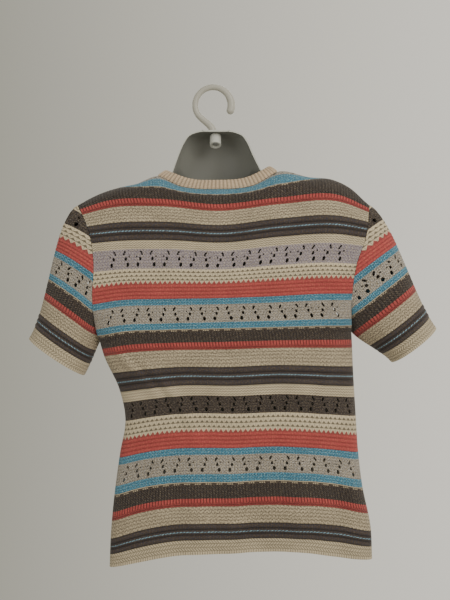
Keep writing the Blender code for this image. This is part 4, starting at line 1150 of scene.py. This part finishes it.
def finer(grid, steps):
    """A grid of points with steps cells in place of each, on a smooth surface through them."""
    for _ in range(2):
        rows, columns = grid.shape[:2]
        at = np.linspace(0, rows - 1, (rows - 1) * steps + 1)
        flat = grid.reshape(rows, -1)
        lines = [smooth(at, np.arange(rows), flat[:, k]) for k in range(flat.shape[1])]
        grid = np.stack(lines, axis=-1).reshape(len(at), columns, 3).swapaxes(0, 1)
    return grid


def form_layer(extra):
    """One face of the form: its points and its cells, as corners."""
    rows, rim, rings = form_grid(extra)
    first, last = FORM_SHOULDER_COLUMNS, FORM_SHOULDER_COLUMNS + FORM_NECK_COLUMNS
    over = rim.copy()
    over[first : last + 1] = rings[0]
    over[first] = (rim[first] + rings[0][0]) / 2
    over[last] = (rim[last] + rings[0][-1]) / 2
    body = finer(np.array(rows + [over]), FORM_FINER)
    neck = finer(np.array([over[first : last + 1]] + rings[1:]), FORM_FINER)
    neck[0] = body[-1, first * FORM_FINER : last * FORM_FINER + 1]
    points, cells = [], []
    for patch in (body, neck):
        start, wide = len(points), patch.shape[1]
        points.extend(patch.reshape(-1, 3))
        for r in range(patch.shape[0] - 1):
            for c in range(wide - 1):
                low = start + r * wide + c
                cells.append((low, low + 1, low + wide + 1, low + wide))
    return points, cells


def form_look():
    """The hollow-backed torso with smooth faces and its open back edge, its inner faces in a darker grey
    as painted shade.
    """
    outer, cells = form_layer(0.0)
    inner, _ = form_layer(FORM_WALL)
    shift = len(outer)
    keys = [tuple(np.round(point, 7)) for point in outer]
    faces, rim = [], {}
    for ring in cells:
        faces.append(ring)
        faces.append(tuple(i + shift for i in reversed(ring)))
        for a, b in zip(ring, ring[1:] + ring[:1]):
            if rim.pop((keys[b], keys[a]), None) is None and keys[a] != keys[b]:
                rim[(keys[a], keys[b])] = (a, b)
    for a, b in rim.values():
        faces.append((b, a, a + shift, b + shift))
    points = outer + inner
    return mesh_object(
        "form_shell", points, faces, "form plastic", painted_shade_finish="form inside painted shade", painted_shade_from=shift
    )


def boss_look():
    """The boss under the neck cap with rounded edges, and the domed screw in it."""
    head = BOSS_LENGTH - BOSS_BORE_DEPTH + SEAM_GAP
    screw = [(radius, head + height) for radius, height in SCREW_OUTLINE]
    boss = turned("boss_barrel", BOSS_OUTLINE, "form plastic")
    return boss, turned("screw_head", screw, "screw steel")


# Numbers and colours in a material


def feed(tree, node, inputs):
    """Links inputs of a node to sockets or Numbers, or sets them to plain numbers or colours."""
    for label, value in inputs.items():
        if isinstance(value, Number):
            value = value.socket
        if isinstance(value, bpy.types.NodeSocket):
            tree.links.new(value, node.inputs[label])
        elif isinstance(value, tuple):
            node.inputs[label].default_value = (*value, 1.0)
        else:
            node.inputs[label].default_value = value


def add_node(tree, kind, inputs, **settings):
    """A shader node with these settings and inputs."""
    node = tree.nodes.new("ShaderNode" + kind)
    for label, value in settings.items():
        setattr(node, label, value)
    feed(tree, node, inputs)
    return node


def math_call(operation):
    """A call of Number that adds one Math node."""
    return lambda number, *others: number.make(operation, *others)


class Number:
    """A number in a node tree. Sums, products and the calls below add Math nodes."""

    def __init__(self, tree, socket):
        self.tree = tree
        self.socket = socket

    def make(self, operation, *others):
        node = add_node(self.tree, "Math", dict(enumerate((self, *others))), operation=operation)
        return Number(self.tree, node.outputs[0])

    __add__, __sub__ = math_call("ADD"), math_call("SUBTRACT")
    __mul__, __truediv__ = math_call("MULTIPLY"), math_call("DIVIDE")
    least, most, below = math_call("MINIMUM"), math_call("MAXIMUM"), math_call("LESS_THAN")
    fraction, whole, size = math_call("FRACT"), math_call("FLOOR"), math_call("ABSOLUTE")
    sine, power = math_call("SINE"), math_call("POWER")

    def opposite(self):
        return self * -1.0 + 1.0

    def tent(self):
        """0 at whole numbers and 1 halfway between them."""
        return ((self.fraction() - 0.5).size() * 2.0).opposite()

    def hump(self):
        """A round wave: 0 at whole numbers and 1 halfway between them."""
        return (self * math.pi).sine().size()

    def soft_step(self, edge, width):
        """0 below the edge and 1 above it."""
        ends = {"Value": self, "From Min": edge - width / 2, "From Max": edge + width / 2}
        node = add_node(self.tree, "MapRange", ends, interpolation_type="SMOOTHSTEP")
        return Number(self.tree, node.outputs["Result"])


def blended(tree, share, first, second):
    """A colour between two, each a socket or a plain colour."""
    inputs = {"Factor": share, "A": first, "B": second}
    return add_node(tree, "Mix", inputs, data_type="RGBA").outputs["Result"]


def shaded(tree, colour, tone):
    """A colour made lighter or darker."""
    return add_node(tree, "VectorMath", {0: colour, "Scale": tone}, operation="SCALE").outputs["Vector"]


def patches(tree, along, up, wide, tall, detail=1.0):
    """Soft irregular patches of about this size, from 0 to 1."""
    place = add_node(tree, "CombineXYZ", {"X": along / wide, "Y": up / tall}).outputs["Vector"]
    inputs = {"Scale": 1.0, "Detail": detail, "Vector": place}
    noise = add_node(tree, "TexNoise", inputs, noise_dimensions="2D")
    return Number(tree, noise.outputs["Fac"])


def new_group(name, inputs, outputs):
    """A node group with these sockets: its tree, its inputs by name and its output node."""
    tree = bpy.data.node_groups.new(name, "ShaderNodeTree")
    kinds = {"number": "NodeSocketFloat", "colour": "NodeSocketColor"}
    for direction, sockets in (("INPUT", inputs), ("OUTPUT", outputs)):
        for label, kind in sockets.items():
            tree.interface.new_socket(label, in_out=direction, socket_type=kinds[kind])
    start = tree.nodes.new("NodeGroupInput")
    given = {label: Number(tree, start.outputs[label]) for label in inputs}
    return tree, given, tree.nodes.new("NodeGroupOutput")


@lru_cache
def stitch_legs_group():
    """Height of plain knit stitches: two slanted legs in each stitch."""
    inputs = dict.fromkeys(("Along", "Up", "Width", "Height", "Slant"), "number")
    tree, given, end = new_group("knit stitch legs", inputs, {"Relief": "number"})
    from_middle = ((given["Along"] / given["Width"]).fraction() - 0.5).size() * 2.0
    row = given["Up"] / given["Height"] - from_middle * given["Slant"]
    feed(tree, end, {"Relief": row.hump().power(0.6) * (from_middle.hump() * 0.7 + 0.3)})
    return tree


@lru_cache
def yarn_shade_group():
    """Colour of a yarn: its own tones, light and dark flecks, and painted shade that darkens the hollows
    between stitches.
    """
    numbers = ("Along", "Up", "Relief", "Light Share", "Dark Share", "Hollow Shade")
    colours = ("Yarn", "Light Fleck", "Dark Fleck")
    inputs = dict.fromkeys(numbers, "number") | dict.fromkeys(colours, "colour")
    tree, given, end = new_group("yarn colour and painted shade", inputs, {"Colour": "colour"})
    along, up = given["Along"], given["Up"]
    fleck = patches(tree, along, up, *LIGHT_FLECK, 2.0)
    second = patches(tree, along + 0.7, up + 0.3, *DARK_FLECK, 2.0)
    slow = patches(tree, along, up, *YARN_CLOUD)
    light = fleck.soft_step(0.55, 0.12) * given["Light Share"]
    dark = second.soft_step(0.54, 0.12) * given["Dark Share"]
    colour = blended(tree, light, given["Yarn"], given["Light Fleck"])
    colour = blended(tree, dark, colour, given["Dark Fleck"])
    # Painted shade: the lower the stitches' relief, the darker the yarn, by the hollow share; the slow
    # cloud is the yarn's own tone
    hollow_shade = given["Relief"].opposite() * given["Hollow Shade"]
    tone = (hollow_shade.opposite() * (slow * 0.30 + 0.85)).least(1.3)
    feed(tree, end, {"Colour": shaded(tree, colour, tone)})
    return tree


class Knit:
    """What a knit's pattern works with: places in metres, and the tree that it adds nodes to."""

    def __init__(self, tree):
        self.tree = tree
        self.along, self.up = self.place("knit")
        self.local, self.share = self.place("band")

    def place(self, label):
        place = add_node(self.tree, "UVMap", {}, uv_map=label).outputs["UV"]
        split = add_node(self.tree, "SeparateXYZ", {"Vector": place}).outputs
        return Number(self.tree, split["X"]), Number(self.tree, split["Y"])

    def legs(self, width, height):
        inputs = {"Along": self.along, "Up": self.up, "Width": width, "Height": height}
        inputs["Slant"] = LEG_SLANT
        node = add_node(self.tree, "Group", inputs, node_tree=stitch_legs_group())
        return Number(self.tree, node.outputs["Relief"])


# Each pattern gives the height of the stitches, from 0 to 1, and the share of the second colour


def plain_stitches(knit):
    return knit.legs(*PLAIN_STITCH), None


def wavy_rows(knit):
    """Rows that wave a little, with cream dashes along the band's lower edge."""
    wave = (knit.along * (2 * math.pi / WAVE_PITCH)).sine() * 0.16
    rows = (knit.share * 5.0 + wave).hump().power(0.7)
    stitches = (knit.along / (WAVE_PITCH / 2) + (knit.share * 5.0).whole() * 0.5).hump()
    dashes = knit.local.below(0.0016) * (knit.along / DASH_PITCH).fraction().below(0.6)
    return rows * (stitches * 0.35 + 0.65), dashes


def twisted_stitches(knit):
    slanted = (knit.up / 0.0032 + knit.along / 0.0040).hump()
    columns = (knit.along / COLUMN_PITCH).hump().power(0.5)
    return slanted.power(0.7) * columns, None


def ridges(knit):
    """Three round ridges, with a thin line of slanted light dashes on the middle one."""
    round_ridge = (knit.share * float(RIDGES_PER_BAND)).hump().power(0.8)
    stitches = (knit.along / DASH_PITCH).hump() * 0.25 + 0.75
    line = (knit.share - 0.5).size().below(0.032)
    dashes = line * (knit.along / 0.0052 - knit.local / 0.0024).fraction().below(0.60)
    return round_ridge * stitches, dashes


def vertical_ribs(knit):
    ribs = (knit.along / COLUMN_PITCH).hump().power(0.6)
    high = knit.share.soft_step(0.45, 0.2)
    low = knit.legs(*FINE_STITCH)
    return ribs * high + low * high.opposite(), None


def fine_ridges(knit):
    stitches = (knit.along / STITCH_PITCH).hump() * 0.3 + 0.7
    return (knit.share * 4.0).hump().power(0.8) * stitches, None


def zigzag_rows(knit):
    zigzag = (knit.along / ZIGZAG_PITCH).tent() * 0.55
    return (knit.share * 4.0 + zigzag).hump().power(0.7), None


def leaves(knit):
    """Staggered rows of leaves, each of two slanted stitches, with teeth over the band below."""
    rows = knit.share * 4.0
    across_leaf = knit.along / LEAF_PITCH + rows.whole() * 0.5
    from_vein = (across_leaf.fraction() - 0.5).size() * 2.0
    leaf = (rows.fraction() + from_vein.opposite() * 0.45).soft_step(0.42, 0.30)
    tip = (rows.fraction() * 1.5 + 0.25 - from_vein).soft_step(0.12, 0.30)
    vein = from_vein.soft_step(0.10, 0.16)
    tooth = (knit.along / LEAF_PITCH).tent().opposite() * 0.0052
    gap = knit.local.below(tooth)
    return (leaf * tip * (vein * 0.4 + 0.6)).most(gap * 0.6), gap


def herringbone(knit):
    """Rows of slanted stitches, with upright loops along the edge."""
    way = (knit.share * 4.0).whole().make("MODULO", 2.0) * 2.0 - 1.0
    slanted = (knit.along / 0.0042 + way * knit.local / 0.0050).hump()
    rows = (knit.share * 4.0).hump().power(0.5)
    loops = (knit.along / STITCH_PITCH).hump().power(0.6)
    edge = knit.share.below(0.22)
    return slanted * rows * edge.opposite() + loops * edge, None


def dashes_and_line(knit):
    """A thin line over groups of three dashes."""
    line = (knit.share - 0.85).size().below(0.11)
    place = (knit.along / DASH_GROUP_PITCH).fraction()
    dash = (place * 5.0).fraction().below(0.62) * place.below(0.6)
    low = (knit.share - 0.38).size().below(0.17)
    return knit.legs(*FINE_STITCH), line.most(dash * low)


def rib_columns(knit):
    ribs = (knit.along / RIB_WIDTH + 0.5).hump().power(0.7)
    stitches = (knit.local / LOOP_HEIGHT + (knit.along / RIB_WIDTH + 0.5).tent() * 0.6).hump()
    return ribs * (stitches * 0.45 + 0.55), None


# Knit: pattern, yarn, second colour, light fleck, its share, dark fleck, its share, painted shade in the
# hollows, bump
KNITS = {
    "hem": (herringbone, CREAM, CREAM, CREAM, 0.0, TAUPE, 0.45, 0.60, 0.0010),
    "ridged": (ridges, BROWN, LINE_BLUE, TAUPE, 0.12, NAVY, 0.75, 0.70, 0.0007),
    "taupe": (wavy_rows, SAND, CREAM, CREAM, 0.80, BROWN, 0.55, 0.55, 0.0010),
    "ribbed coral": (vertical_ribs, CORAL, CORAL, SALMON, 0.60, BROWN, 0.20, 0.92, 0.0012),
    "brown": (twisted_stitches, BROWN, CREAM, TAUPE, 0.28, NAVY, 0.50, 0.75, 0.0013),
    "dashes": (dashes_and_line, BROWN, CREAM, TAUPE, 0.20, NAVY, 0.20, 0.35, 0.0006),
    "blue": (plain_stitches, BLUE, BLUE, PALE_BLUE, 0.85, DEEP_BLUE, 0.55, 0.70, 0.0014),
    "coral": (fine_ridges, CORAL, CORAL, SALMON, 0.65, BROWN, 0.12, 0.45, 0.0007),
    "leaf": (leaves, CREAM, CORAL, CREAM, 0.0, TAUPE, 0.35, 0.72, 0.0012),
    "garter": (zigzag_rows, CREAM, CREAM, SAND, 0.45, TAUPE, 0.40, 0.70, 0.0010),
    "grey lace": (plain_stitches, GREY, GREY, CREAM, 0.75, BROWN, 0.55, 0.55, 0.0013),
    "brown lace": (plain_stitches, BROWN, BROWN, TAUPE, 0.30, NAVY, 0.40, 0.60, 0.0012),
    "lavender lace": (plain_stitches, LAVENDER, LAVENDER, CREAM, 0.60, VIOLET, 0.60, 0.52, 0.0013),
    "neck rib": (rib_columns, PEACH, PEACH, CREAM, 0.50, TAUPE, 0.45, 0.55, 0.0009),
}


def new_material(name):
    """A material, its tree and its surface shader."""
    made = bpy.data.materials.new(name)
    made.use_nodes = True
    return made, made.node_tree, made.node_tree.nodes["Principled BSDF"]


@lru_cache
def knit_material(name):
    """A matt yarn with its stitches as bump."""
    pattern, yarn, second, light, light_share, dark, dark_share, hollow_shade, bump_height = KNITS[name]
    made, tree, shader = new_material(f"{name} knit")
    knit = Knit(tree)
    height, second_share = pattern(knit)
    if second_share is not None:
        yarn = blended(tree, second_share, yarn, second)
    inputs = {
        "Along": knit.along,
        "Up": knit.up,
        "Relief": height,
        "Yarn": yarn,
        "Light Fleck": light,
        "Dark Fleck": dark,
        "Light Share": light_share,
        "Dark Share": dark_share,
        "Hollow Shade": hollow_shade,
    }
    # The yarn's colour, with painted shade in the hollows between stitches
    colour = add_node(tree, "Group", inputs, node_tree=yarn_shade_group()).outputs["Colour"]
    bump = add_node(tree, "Bump", {"Strength": 0.8, "Distance": bump_height, "Height": height})
    surface = {
        "Base Color": colour,
        "Normal": bump.outputs["Normal"],
        "Roughness": 0.92,
        "Sheen Weight": 0.12,
        "Sheen Roughness": 0.5,
        "Specular IOR Level": 0.2,
    }
    feed(tree, shader, surface)
    return made


@lru_cache
def surface_group():
    """Faint tone and gloss of a moulded or machined surface."""
    outputs = {"Colour": "colour", "Roughness": "number"}
    tree, given, end = new_group("surface wear", {**outputs, "Scale": "number"}, outputs)
    place = add_node(tree, "TexCoord", {}).outputs["Object"]
    noise = add_node(tree, "TexNoise", {"Detail": 3.0, "Vector": place, "Scale": given["Scale"]})
    cloud = Number(tree, noise.outputs["Fac"])
    gloss = given["Roughness"] + (cloud - 0.5) * 0.18
    colour = shaded(tree, given["Colour"], cloud * 0.16 + 0.92)
    feed(tree, end, {"Colour": colour, "Roughness": gloss})
    return tree


@lru_cache
def surface_material(name):
    """The finish of a smooth piece."""
    colour, roughness, scale, metal = SURFACES[name]
    made, tree, shader = new_material(name)
    inputs = {"Colour": colour, "Roughness": roughness, "Scale": scale}
    group = add_node(tree, "Group", inputs, node_tree=surface_group()).outputs
    surface = {"Base Color": group["Colour"], "Roughness": group["Roughness"], "Metallic": metal}
    feed(tree, shader, surface)
    return made


# Room


def area_light(name, place, size, power, colour):
    lamp = bpy.data.lights.new(name, "AREA")
    lamp.shape = "SQUARE"
    lamp.size = size
    lamp.energy = power
    lamp.color = colour
    made = shown(name, lamp)
    made.location = place
    heading = Vector(LIGHT_TARGET) - Vector(place)
    made.rotation_euler = heading.to_track_quat("-Z", "Y").to_euler()


def make_surround():
    """A pale surround, brighter on the side of the main light."""
    world = bpy.data.worlds.new("pale surround")
    world.use_nodes = True
    tree = world.node_tree
    direction = add_node(tree, "TexCoord", {}).outputs["Generated"]
    split = add_node(tree, "SeparateXYZ", {"Vector": direction})
    share = (Number(tree, split.outputs["X"]) * 2.0 + 0.5).least(1.0).most(0.0)
    colour = blended(tree, share, BRIGHT_SIDE, DIM_SIDE)
    feed(tree, tree.nodes["Background"], {"Color": colour})
    bpy.context.scene.world = world


def make_room():
    """A pale floor, soft lights, a pale surround and the camera at the photo's angle."""
    for name, light in LIGHTS.items():
        area_light(name, *light)
    make_surround()
    floor_mesh = bpy.data.meshes.new("floor")
    shape = bmesh.new()
    bmesh.ops.create_circle(shape, cap_ends=True, segments=96, radius=FLOOR_RADIUS)
    shape.to_mesh(floor_mesh)
    shape.free()
    floor = shown("floor", floor_mesh)
    floor.location = FLOOR_PLACE
    floor_mesh.materials.append(surface_material("pale floor"))
    lens = bpy.data.cameras.new("photo camera")
    lens.sensor_fit = "AUTO"
    lens.sensor_width = CAMERA_SENSOR
    lens.lens = CAMERA_SENSOR * CAMERA_PLACE[1] / PICTURE_HEIGHT
    camera = shown("photo camera", lens)
    camera.location = CAMERA_PLACE
    camera.rotation_euler = (math.radians(90.0), 0.0, math.radians(180.0))
    bpy.context.scene.camera = camera


def stand_for(piece, node):
    """The piece rides with the part and is shown instead of its solid."""
    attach(piece, "root")
    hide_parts(node)


def main():
    cloth = {
        "back": panel_look(1, "back_cloth"),
        "front": panel_look(-1, "front_cloth"),
    }
    courses = np.linspace(UNDERARM_COURSE, TOP_COURSE, ARMHOLE_STEPS)
    for which, sizes in SLEEVES.items():
        sleeve = Sleeve(sizes, courses)
        for half, part in ((1, "back"), (-1, "front")):
            name = f"sleeve_{which}_{part}"
            cloth[name] = sleeve_look(sleeve, half, f"{which}_sleeve_{part}_cloth")
    cloth["neckband"] = neckband_look()
    for node, piece in cloth.items():
        stand_for(piece, node)
    stand_for(form_look(), "form")
    stand_for(make_hook(), "hook")
    boss, screw = boss_look()
    stand_for(boss, "hook_boss")
    stand_for(screw, "boss_screw")
    make_room()


main()
